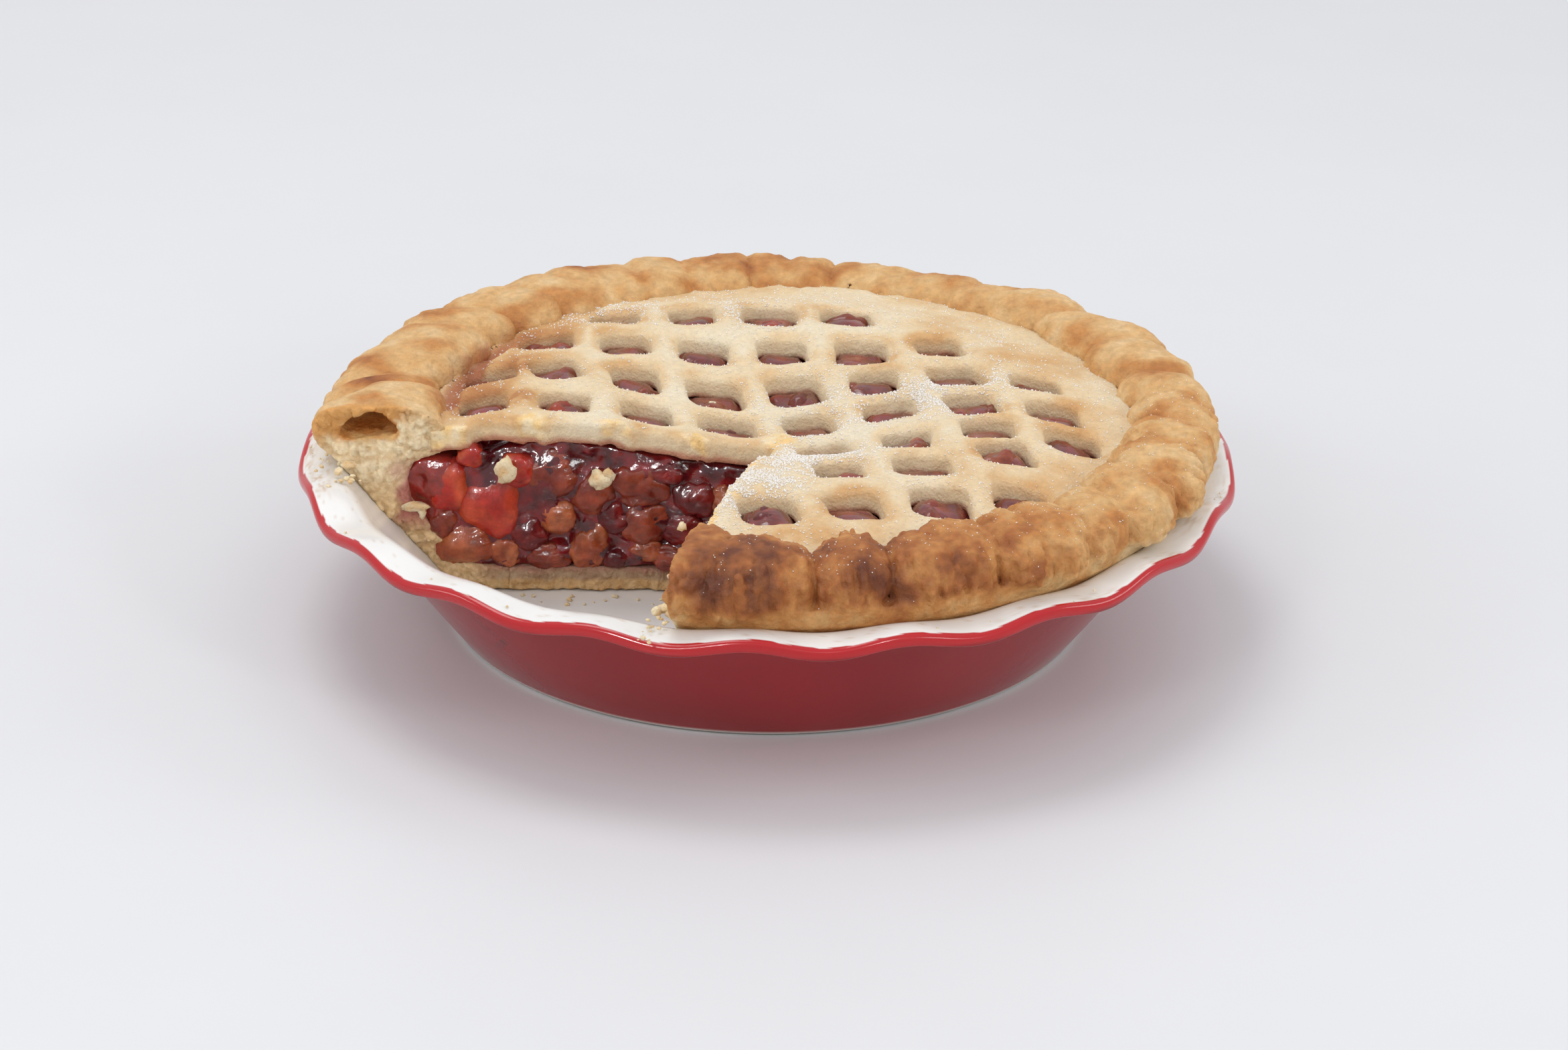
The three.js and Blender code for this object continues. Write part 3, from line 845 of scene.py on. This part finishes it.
def clear_of(middle, size, share):
    return all(math.dist(middle, other[0]) > share * (size + max(other[1])) for other in fruit)


def inside_the_wall(x, y, level, size):
    wall = np.interp(level - 0.6 * size, [14, 16, 25, 35, 42], [80, 87, 96, 103, 104])
    return math.hypot(x, y) + 0.9 * size < wall


USUAL_TONES = ["red", "brown", "amber", "dark", "brown"]


def add_fruit(place, size, smallest, largest, smoothest, roughest):
    radii = size * dice.uniform(smallest, largest, 3)
    tone = USUAL_TONES[dice.integers(len(USUAL_TONES))]
    fruit.append((place, tuple(radii), tone, dice.uniform(smoothest, roughest)))


for attempt in range(900):
    along, level, size = dice.uniform(5, 92), dice.uniform(18, 46), dice.uniform(5.5, 9.0)
    x = CUT_APEX[0] + along * math.cos(CUT_RIGHT) + 0.62 * size
    y = CUT_APEX[1] + along * math.sin(CUT_RIGHT)
    covered = level + 0.8 * size < jelly_level(x, y) + 1 and level - 0.7 * size > 14
    if covered and inside_the_wall(x, y, level, size) and clear_of((x, y, level), size, 0.72):
        add_fruit((x, y, level), size, 0.75, 1.05, 0.1, 1)
print(len(fruit), "with the right cut")
for mx, my in opening_middles:
    if slice_depth(np.array([[mx, my, 0]]))[0] > -8:
        continue
    for attempt in range(3):
        size = dice.uniform(6.5, 9)
        x, y = mx + dice.uniform(-5, 5), my + dice.uniform(-3, 6)
        level = jelly_level(x, y) + dice.uniform(2.2, 4.4) - 0.85 * size
        if clear_of((x, y, level), size, 0.6):
            add_fruit((x, y, level), size, 0.8, 1.1, 0.2, 0.9)
print(len(fruit), "with the openings")

shapes, colours, quads, start = [], [], [], 0
fine_ball, plain_ball = ball(17), ball(10)
for number, (middle, radii, tone, wrinkled) in enumerate(fruit):
    round_points, round_faces = fine_ball if number < placed_by_hand else plain_ball
    shape, colour = cherry(round_points, middle, radii, tone, 100 + number * 7, wrinkled)
    shapes.append(shape)
    colours.append(colour)
    quads.append(round_faces + start)
    start += len(shape)
add_piece("cherries", np.concatenate(shapes), np.concatenate(quads), cherry_finish,
          ["cherry_filling"], np.concatenate(colours))

# %% [markdown]
# The jelly fills what the fruit leaves. It climbs a little way up each cherry, as set syrup does,
# so the jelly's field takes in every cherry as a slightly smaller ball, joined with a soft corner.
# Only the layer by the cuts needs a fine grid.

# %% Jelly
def fruit_field(points, shrink):
    d = np.full(len(points), 9.0)
    points = press(points, 1 / PRESSED)
    for middle, radii, *_ in fruit:
        reach = np.array(radii) + 5
        near = np.all(np.abs(points - np.array(middle)) < reach, axis=1)
        inner = np.array(radii) - shrink
        away = np.linalg.norm((points[near] - np.array(middle)) / inner, axis=1)
        d[near] = np.minimum(d[near], (away - 1) * inner.min())
    return d


def jelly_field(points):
    x, y, z = points.T
    radius = np.hypot(x, y)
    wall = np.interp(z, [13, 16, 25, 35, 42, 50], [79, 86, 95, 102, 103.5, 101])
    spill = smooth((slice_depth(points) + 7) / 5) * np.exp(-(((z - 36) / 8) ** 2)) * (x < -60)
    wall = wall + 4.5 * spill + 1.2 * noise(points, 7, 76)
    top = jelly_level(x, y) + 1.0 * noise(points, 13, 71) + 0.5 * noise(points, 5, 72)
    near = np.abs(z - top - 1) < 6
    rise = np.zeros(len(points))
    rise[near] = 3.0 * smooth((0.6 - opening_distance(points[near])) / 4)
    pocket = 6.5 * np.exp(-(((x + 84) / 8) ** 2 + ((y + 14) / 10) ** 2))
    d = np.maximum(join_max(z - top - rise + pocket, radius - wall, 2), JELLY_FLOOR - z)
    face = slice_depth(points) + 2.2 + 1.9 * noise(points, 9, 73)
    face = face + 0.7 * noise(points, 4, 74) + 0.35 * noise(points, 1.9, 75)
    d = join_max(d, face - 1.2 * spill, 2.0)
    return join_min(d, fruit_field(points, 1.5), 4.5)


def jelly_tint(points):
    share = smooth(0.4 + 0.9 * noise(points, 7, 81) + 0.4 * noise(points, 2.5, 82))
    colour = mix((0.070, 0.004, 0.008), (0.24, 0.012, 0.014), share)
    level = points[:, 2] - jelly_level(points[:, 0], points[:, 1])
    pink = smooth((level + 2.4) / 2.5) * smooth(-slice_depth(points) / 5)
    colour = mix(colour, (0.33, 0.030, 0.020), 0.7 * smooth((-86 - points[:, 0]) / 7))
    return mix(colour, (0.17, 0.022, 0.014), 0.6 * pink)


JELLY_PARTS = [
    ("jelly_by_the_cuts", [lambda p: -8 - slice_depth(p)], (-107, -107, 12.5), (14, -2, 57), 0.88),
    (
        "jelly_in_the_openings",
        [
            lambda p: slice_depth(p) + 7, lambda p: opening_distance(p) - 2.0,
            lambda p: lattice_height(p[:, 0], p[:, 1]) - 11 - p[:, 2],
        ],
        (-104, -104, 40), (108, 108, 60), 1.3,
    ),
]
for name, limits, low, high, pitch in JELLY_PARTS:
    carve(name, within(jelly_field, *limits), low, high, pitch,
          jelly_finish, "cherry_filling", jelly_tint)
core = within(lambda p: jelly_field(p) + 1.0, lambda p: slice_depth(p) + 7)
carve("jelly_core", core, (-106, -106, 12), (106, 106, 60), 2.8,
      jelly_finish, "cherry_filling", jelly_tint)

# %% [markdown]
# ## The dish
#
# The dish is turned stoneware, so it starts as a profile swept round an axis. Flutes then push the
# flange in and out and up and down, twenty times round. White glaze covers the inside and the
# flange, and red glaze the edge and the outside.

# %% Dish
# radius and height, from the middle underneath, round the edge and back to the middle on top
PROFILE = [
    (0, 1.2), (60, 1.2), (83.5, 1.2), (85.0, 0.3), (86.2, 0), (91.6, 0), (93.0, 0.5), (93.6, 1.6),
    (98, 7.4), (110, 24.0), (119.6, 38.0), (121.8, 40.6), (124.8, 42.2), (129.0, 42.5), (132.4, 42.4),
    (134.4, 42.9), (135.0, 44.2), (134.9, 45.6), (134.0, 46.35), (132.2, 46.6), (129.0, 46.5),
    (125.2, 46.2), (122.8, 45.4), (120.8, 43.9), (118.6, 41.2), (107.4, 27.5), (95.4, 12.6),
    (92.4, 9.2), (89.4, 7.4), (86, 6.6), (80, 6.5), (40, 6.5), (0, 6.5),
]


def rounded(profile, rounds):
    """Cuts the corners of a profile until it is smooth, keeping its two ends."""
    points = np.array(profile, float)
    for _ in range(rounds):
        a, b = points[:-1], points[1:]
        cut = np.stack([0.75 * a + 0.25 * b, 0.25 * a + 0.75 * b], 1).reshape(-1, 2)
        points = np.concatenate([points[:1], cut, points[-1:]])
    return points


def filled_in(section, step):
    """Adds points so that no two outside the flat middle are more than `step` apart."""
    points = [section[0]]
    for a, b in zip(section[:-1], section[1:]):
        count = max(1, math.ceil(math.dist(a, b) / (step if b[0] > 88 else 14)))
        points += [a + (b - a) * i / count for i in range(1, count + 1)]
    return np.array(points)


section = filled_in(rounded(PROFILE, 2), 2.0)
turns, FLUTES = 480, 20
swept = section[1:-1]  # all but the two middle points
r, theta = np.meshgrid(swept[:, 0], np.arange(turns) * 2 * math.pi / turns, indexing="ij")
z = np.repeat(swept[:, 1:], turns, axis=1)
share = smooth((r - 113) / 22) * (z > 38.5)
swing = np.cos(FLUTES * (theta - math.radians(277))) * share
unsteady = 0.25 * np.sin(3 * theta + 1) * share
r = r + 0.5 * swing - 0.5 * share
z = z - 1.1 * swing + unsteady - 0.2 * share
points = np.stack([r * np.cos(theta), r * np.sin(theta), z], -1)
rows = len(points)
points = np.concatenate([points.reshape(-1, 3), [[0, 0, 1.2], [0, 0, 6.5]]])
at = np.arange(rows * turns).reshape(rows, turns)
after = np.roll(at, -1, axis=1)
body = np.stack([at[:-1], after[:-1], after[1:], at[1:]], -1).reshape(-1, 4)
under, over = rows * turns, rows * turns + 1
even = np.arange(0, turns, 2)
caps = [
    np.stack([np.full(turns // 2, under), at[0, (even + 2) % turns], at[0, even + 1], at[0, even]], 1),
    np.stack([np.full(turns // 2, over), at[-1, even], at[-1, even + 1], at[-1, (even + 2) % turns]], 1),
]
faces = np.concatenate([body, *caps])[:, ::-1]

# %% [markdown]
# The glazes are painted on that one mesh. Where the oven splashed juice and butter on the flange,
# thin tan smears were rubbed along it, and the red outside has a few dark scuffs.

# %% Glaze colours and the dish itself
# bearing, radius, length along the flange, width, strength
SMEARS = [
    (193, 129.5, 9, 2.2, 0.9), (180, 131.5, 16, 1.5, 0.8), (186.5, 126.5, 8, 1.5, 0.5),
    (187, 131.5, 6, 1.2, 0.7), (338.5, 127.5, 11, 3.0, 0.5), (324.5, 131.5, 9, 2.2, 0.5),
    (349, 131.5, 8, 1.5, 0.4), (250.5, 118, 3, 0.8, 0.7), (312, 132.0, 7, 1.2, 0.4),
    (299, 130, 5, 1.4, 0.3), (262, 132.5, 2.0, 0.7, 0.6), (40, 131, 9, 1.8, 0.4),
    (120, 131.5, 12, 1.6, 0.4),
]
# bearing, height, length, width and lean
SCUFFS = [
    (228.2, 21, 6, 0.6, 0.7), (226.5, 26, 4, 0.5, -0.6), (276.4, 12, 0.7, 0.4, 0), (60, 20, 5, 0.5, 0.5),
]
x, y, z = points.T
radius, theta = np.hypot(x, y), np.arctan2(y, x)
rim_row = int(np.argmax(section[:, 0])) - 1
row_of = np.arange(len(points)) // turns
profile_radius = np.append(np.repeat(swept[:, 0], turns), [0, 0])
band_edge = 133.3 + 0.3 * noise(points * np.array([1, 1, 0]), 7, 97)
outside = (row_of < rim_row) | (profile_radius > band_edge)
outside[under], outside[over] = True, False
white = mix((0.80, 0.79, 0.765), (0.84, 0.83, 0.81), smooth(noise(points, 30, 91) + 0.5))
for bearing, ring, length, width, strength in SMEARS:
    along, across = away_from(theta, bearing) * ring, radius - ring
    streak = noise(np.stack([along / 3.5, across * 1.6, z * 0], 1), 1.0, 92) + 0.35 * noise(points, 1.2, 93)
    patch = np.exp(-((along / length) ** 2) - (across / width) ** 2)
    amount = patch * smooth(streak * 1.6 + 0.35) * strength
    white = mix(white, (0.50, 0.30, 0.14), np.clip(amount, 0, 1) * (z > 44))
dust = smooth((np.abs(noise(points, 2.0, 94)) - 0.62) / 0.12) * smooth((radius - 119) / 3) * 0.35
white = mix(white, (0.55, 0.36, 0.20), dust)
red = mix((0.27, 0.007, 0.010), (0.30, 0.009, 0.012), smooth(noise(points, 40, 95) + 0.5))
for bearing, level, length, width, lean in SCUFFS:
    along, up = away_from(theta, bearing) * radius, (z - level) * 1.15
    u, v = along * math.cos(lean) + up * math.sin(lean), up * math.cos(lean) - along * math.sin(lean)
    amount = np.exp(-((u / length) ** 4) - (v / width) ** 2) * smooth(noise(points, 2.2, 96) + 0.6)
    red = mix(red, (0.03, 0.012, 0.012), np.clip(amount, 0, 1))
# Painted light: above 42 mm the red edge is painted a brighter red than the rest of the same glaze, where the
# edge catches the light.
red = mix(red, (0.47, 0.014, 0.018), smooth((z - 42.0) / 1.5))
bare = smooth((1.5 - z) / 0.7) * (radius > 80) * outside
red = mix(red, (0.62, 0.56, 0.50), bare)
tint = np.where(outside[:, None], red, white)
glaze_finish = make_finish(
    "stoneware_glaze", mottle=(40, 0.97, 1.02), bumps=((60, 0.0002), (9, 0.001)),
    Roughness=0.16, Specular_IOR_Level=0.4,
)
add_piece("fluted_dish", points, faces, glaze_finish, ["pie_dish"], tint)

# %% [markdown]
# ## Sugar and crumbs
#
# Coarse sugar was thrown over the raw dough and stayed where it fell. It could be a particle system,
# but real grains in one mesh keep their true size and go wherever the piece goes. Each crystal has
# eight sides and is half sunk in the dough, and they lie thickest in a few patches.

# %% Sugar
def scatter_on(piece, count, weight, seed):
    """Places on a mesh's faces, chosen in proportion to area times weight(points, normals)."""
    mesh = piece.data

    def read(what, width):
        values = np.zeros(len(mesh.polygons) * width)
        mesh.polygons.foreach_get(what, values)
        return values.reshape(-1, width)

    centres, normals, areas = read("center", 3) * 1000, read("normal", 3), read("area", 1)[:, 0]
    chance = areas * weight(centres, normals)
    picks = np.random.default_rng(seed).choice(len(areas), count, p=chance / chance.sum())
    return centres[picks], normals[picks]


# x, y, strength and size of the thick patches
SUGAR_PATCHES = [
    (43, 11, 30, 11), (56, 1, 12, 8), (20, -33, 22, 9), (6, -37, 26, 9), (-6, -62, 26, 10),
    (1, -55, 18, 9), (-12, -72, 16, 8), (14, 18, 10, 14), (30, 4, 10, 9), (-50, 80, 12, 12),
    (-4, 70, 14, 9), (62, 22, 10, 10), (12, -20, 14, 9),
]


def sugar_weight(points, normals):
    x, y, z = points.T
    thick = 0.5 + 1.6 * smooth(noise(points, 22, 101) + 0.1) + 1.8 * smooth(noise(points, 6, 102))
    broken = smooth(noise(points, 5, 103) + 0.75)
    for px, py, strength, size in SUGAR_PATCHES:
        thick += strength * np.exp(-((x - px) ** 2 + (y - py) ** 2) / size**2) * broken
    return thick * smooth((normals[:, 2] - 0.35) / 0.3)


GRAIN = np.array([[1, 0, 0], [-1, 0, 0], [0, 1, 0], [0, -1, 0], [0, 0, 1], [0, 0, -1]], float)
GRAIN_FACES = np.array([
    [0, 2, 4], [2, 1, 4], [1, 3, 4], [3, 0, 4], [2, 0, 5], [1, 2, 5], [3, 1, 5], [0, 3, 5],
])


def grains(places, normals, low, high, seed):
    maker = np.random.default_rng(seed)
    count = len(places)
    q = maker.normal(size=(count, 4))
    q /= np.linalg.norm(q, axis=1)[:, None]
    w, x, y, z = q.T
    turn = np.stack([
        np.stack([1 - 2 * (y * y + z * z), 2 * (x * y - z * w), 2 * (x * z + y * w)], 1),
        np.stack([2 * (x * y + z * w), 1 - 2 * (x * x + z * z), 2 * (y * z - x * w)], 1),
        np.stack([2 * (x * z - y * w), 2 * (y * z + x * w), 1 - 2 * (x * x + y * y)], 1),
    ], 1)
    size = maker.uniform(low, high, (count, 1, 1)) * maker.uniform(0.7, 1.2, (count, 1, 3)) / 2
    shape = np.einsum("nij,nkj->nki", turn, GRAIN[None] * size)
    jitter = maker.uniform(-0.45, 0.45, (count, 3))
    middle = places + jitter - normals * (jitter * normals).sum(1)[:, None] + normals * 0.12
    points = (shape + middle[:, None]).reshape(-1, 3)
    faces = (GRAIN_FACES[None] + 6 * np.arange(count)[:, None, None]).reshape(-1, 3)
    return points, faces


places, normals = scatter_on(lattice, 10500, sugar_weight, 111)
points, faces = grains(places, normals, 0.28, 0.68, 112)
add_piece("sugar_crystals", points, faces, sugar_finish)


def edge_sugar_weight(points, normals):
    return smooth((normals[:, 2] - 0.3) / 0.4) * (0.3 + smooth(noise(points, 9, 104)))


roll = bpy.data.objects["rolled_edge_front"]
places, normals = scatter_on(roll, 420, edge_sugar_weight, 113)
points, faces = grains(places, normals, 0.25, 0.5, 114)
add_piece("sugar_on_the_edge", points, faces, sugar_finish)

# %% [markdown]
# Cutting the slice dropped crumbs by both cuts, on the flange and on the floor of the dish. They are
# the same blown-up cubes as the cherries, with rougher noise and no fold. The dozen that stand out
# are listed one by one, and dust is scattered where a knife leaves it.

# %% Crumbs
crumb_points, crumb_faces = ball(4)


def crumb(middle, radii, seed):
    turn = random_turn()
    shape = crumb_points @ turn
    size = 1 + 0.45 * noise(shape, 0.9, seed) + 0.25 * noise(shape, 0.4, seed + 1)
    return shape * size[:, None] * np.array(radii) + np.array(middle)


# x, y, z and half sizes of the crumbs that stand out
BIG_CRUMBS = [
    (-74.6, -18.6, 46.2, 3.0, 2.2, 4.0), (-47.5, -18.4, 43.4, 3.2, 2.4, 2.8),
    (-45.2, -18.2, 45.0, 1.6, 1.4, 1.8), (-100.8, -17.6, 34.0, 3.6, 1.2, 1.6),
    (-98.6, -17.8, 32.6, 1.2, 0.8, 2.0), (-22.5, -93.0, 61.8, 1.1, 0.9, 1.3),
    (-26.0, -115.0, 48.0, 2.4, 2.0, 1.2), (-28.6, -116.2, 47.6, 1.6, 1.4, 1.0),
    (-24.8, -117.6, 47.7, 1.4, 1.2, 1.0), (-119.0, -20.5, 48.0, 1.8, 2.2, 1.2),
    (-121.5, -24.0, 47.6, 1.4, 1.6, 0.9), (-16.3, 18.6, 52.3, 1.2, 1.0, 1.0),
]
maker = np.random.default_rng(77)
all_crumbs = [crumb(entry[:3], entry[3:], 200 + 3 * i) for i, entry in enumerate(BIG_CRUMBS)]


def drop(x, y, level, size, seed, deep=None):
    """Adds a crumb that lies on a surface at `level`; size and deep are half sizes."""
    all_crumbs.append(crumb((x, y, level + 0.5 * size), (size, deep or size, 0.7 * size), seed))


for i in range(20):  # on the flange, by the left cut
    bearing, ring = math.radians(maker.uniform(184, 196)), maker.uniform(118, 131)
    size = maker.uniform(0.25, 0.9)
    x, y = ring * math.cos(bearing), ring * math.sin(bearing)
    drop(x, y, 46.5, size, 300 + 3 * i, size * maker.uniform(0.6, 1.2))
for i in range(26):  # on the floor of the dish, along the left cut
    x, y, size = maker.uniform(-88, -6), maker.uniform(-24, -17), maker.uniform(0.25, 0.8)
    drop(x, y, 6.5, size, 500 + 3 * i)
for i in range(22):  # on the flange, by the right cut
    along, size = maker.uniform(95, 122), maker.uniform(0.25, 0.8)
    x = CUT_APEX[0] + along * math.cos(CUT_RIGHT) - maker.uniform(1, 6)
    y = CUT_APEX[1] + along * math.sin(CUT_RIGHT) - maker.uniform(0, 3)
    if math.hypot(x, y) > 119:
        drop(x, y, 46.7, size, 700 + 3 * i)
for i in range(60):  # specks all round the flange
    bearing, ring, size = maker.uniform(0, 2 * math.pi), maker.uniform(129.5, 132.5), maker.uniform(0.15, 0.4)
    place = (ring * math.cos(bearing), ring * math.sin(bearing), 46.4)
    all_crumbs.append(crumb(place, (size, size, 0.7 * size), 900 + 3 * i))
points = np.concatenate(all_crumbs)
faces = np.concatenate([crumb_faces + i * len(crumb_points) for i in range(len(all_crumbs))])
tint = mix((0.84, 0.70, 0.46), (0.74, 0.48, 0.22), smooth(noise(points, 3, 121) + 0.3))
add_piece("crumbs", points, faces, crumb_finish, (), tint)

# %% [markdown]
# ## Floor, light and camera
#
# A pale, slightly shiny floor carries the dish. It is not part of the object, so it is only staged.

# %% Floor
bpy.ops.mesh.primitive_plane_add(size=8, location=(0, 0, -0.0002))
floor = bpy.context.object
floor.name = "floor"
pale_floor = make_finish("pale_floor", base=(0.70, 0.705, 0.72), mottle=(3, 0.98, 1.02), Roughness=0.4)
floor.data.materials.append(pale_floor)

# %% [markdown]
# A pale sky on all sides works as a white tent does and keeps the shadows soft, and five broad lamps
# give the dough its form. Broad light alone leaves wet fruit dull, so five small lamps are added that
# show in reflections only and light nothing else.

# %% Lights
world = bpy.data.worlds.new("tent")
bpy.context.scene.world = world
world.use_nodes = True
world.node_tree.nodes["Background"].inputs["Color"].default_value = (0.97, 0.975, 1.0, 1)
world.node_tree.nodes["Background"].inputs["Strength"].default_value = 0.78


def lamp(name, place, size, watts):
    data = bpy.data.lights.new(name, "AREA")
    data.shape = "DISK"
    data.size, data.energy = size, watts
    thing = bpy.data.objects.new(name, data)
    thing.location = place
    thing.rotation_euler = (Vector((0, 0, 0.04)) - Vector(place)).to_track_quat("-Z", "Y").to_euler()
    bpy.context.scene.collection.objects.link(thing)
    return thing


# name, place, diameter in metres, watts
BROAD_LAMPS = [
    ("top_light", (-0.35, 0.45, 1.5), 0.7, 6.0), ("left_light", (-1.1, -0.2, 0.6), 0.4, 2.1),
    ("right_light", (1.1, 0.0, 0.6), 0.4, 2.0), ("front_right_light", (0.75, -0.8, 0.6), 0.2, 1.7),
    ("front_left_light", (-0.45, -0.9, 0.8), 0.25, 1.2),
]
SPARKLES = [
    (-0.42, -0.66, 0.62), (-0.37, -0.68, 0.66), (-0.40, -0.72, 0.57), (-0.22, -0.70, 0.72),
    (0.30, -0.60, 0.80),
]
for settings in BROAD_LAMPS:
    lamp(*settings)
for number, place in enumerate(SPARKLES):
    lamp(f"sparkle_{number}", place, 0.035, 1.5).visible_diffuse = False
print(len(BROAD_LAMPS), "broad lamps and", len(SPARKLES), "small ones")

# %% [markdown]
# The camera stands 1.13 m from the middle of the dish and looks down at about 25 degrees through a
# long lens. It aims a little past the dish, so the turn away from the middle and the slight roll are
# given as angles, and the matrix is built from the three directions of its view.

# %% Camera
DISTANCE, ELEVATION = 1.12743, math.radians(24.578)
YAW, PITCH, ROLL = math.radians(-0.2574068), math.radians(1.0264913), math.radians(0.6208)
ahead = Vector((0, math.cos(ELEVATION), -math.sin(ELEVATION)))
right = Vector((1, 0, 0))
up = right.cross(ahead)
ahead, right = (Matrix.Rotation(YAW, 3, up) @ v for v in (ahead, right))
ahead, up = (Matrix.Rotation(PITCH, 3, right) @ v for v in (ahead, up))
right, up = right * math.cos(ROLL) + up * math.sin(ROLL), up * math.cos(ROLL) - right * math.sin(ROLL)
camera = bpy.data.objects.new("camera", bpy.data.cameras.new("camera"))
camera.data.sensor_width, camera.data.lens = 36, 87.98019
turned = Matrix((right, up, -ahead)).transposed().to_4x4()
turned.translation = (0, -DISTANCE * math.cos(ELEVATION), DISTANCE * math.sin(ELEVATION))
camera.matrix_world = turned
bpy.context.scene.collection.objects.link(camera)
bpy.context.scene.camera = camera
bpy.context.scene.view_settings.view_transform = "Standard"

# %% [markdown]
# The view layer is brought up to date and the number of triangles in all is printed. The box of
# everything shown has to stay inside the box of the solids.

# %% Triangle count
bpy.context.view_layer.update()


print("triangles in all:", sum(triangle_count.values()))
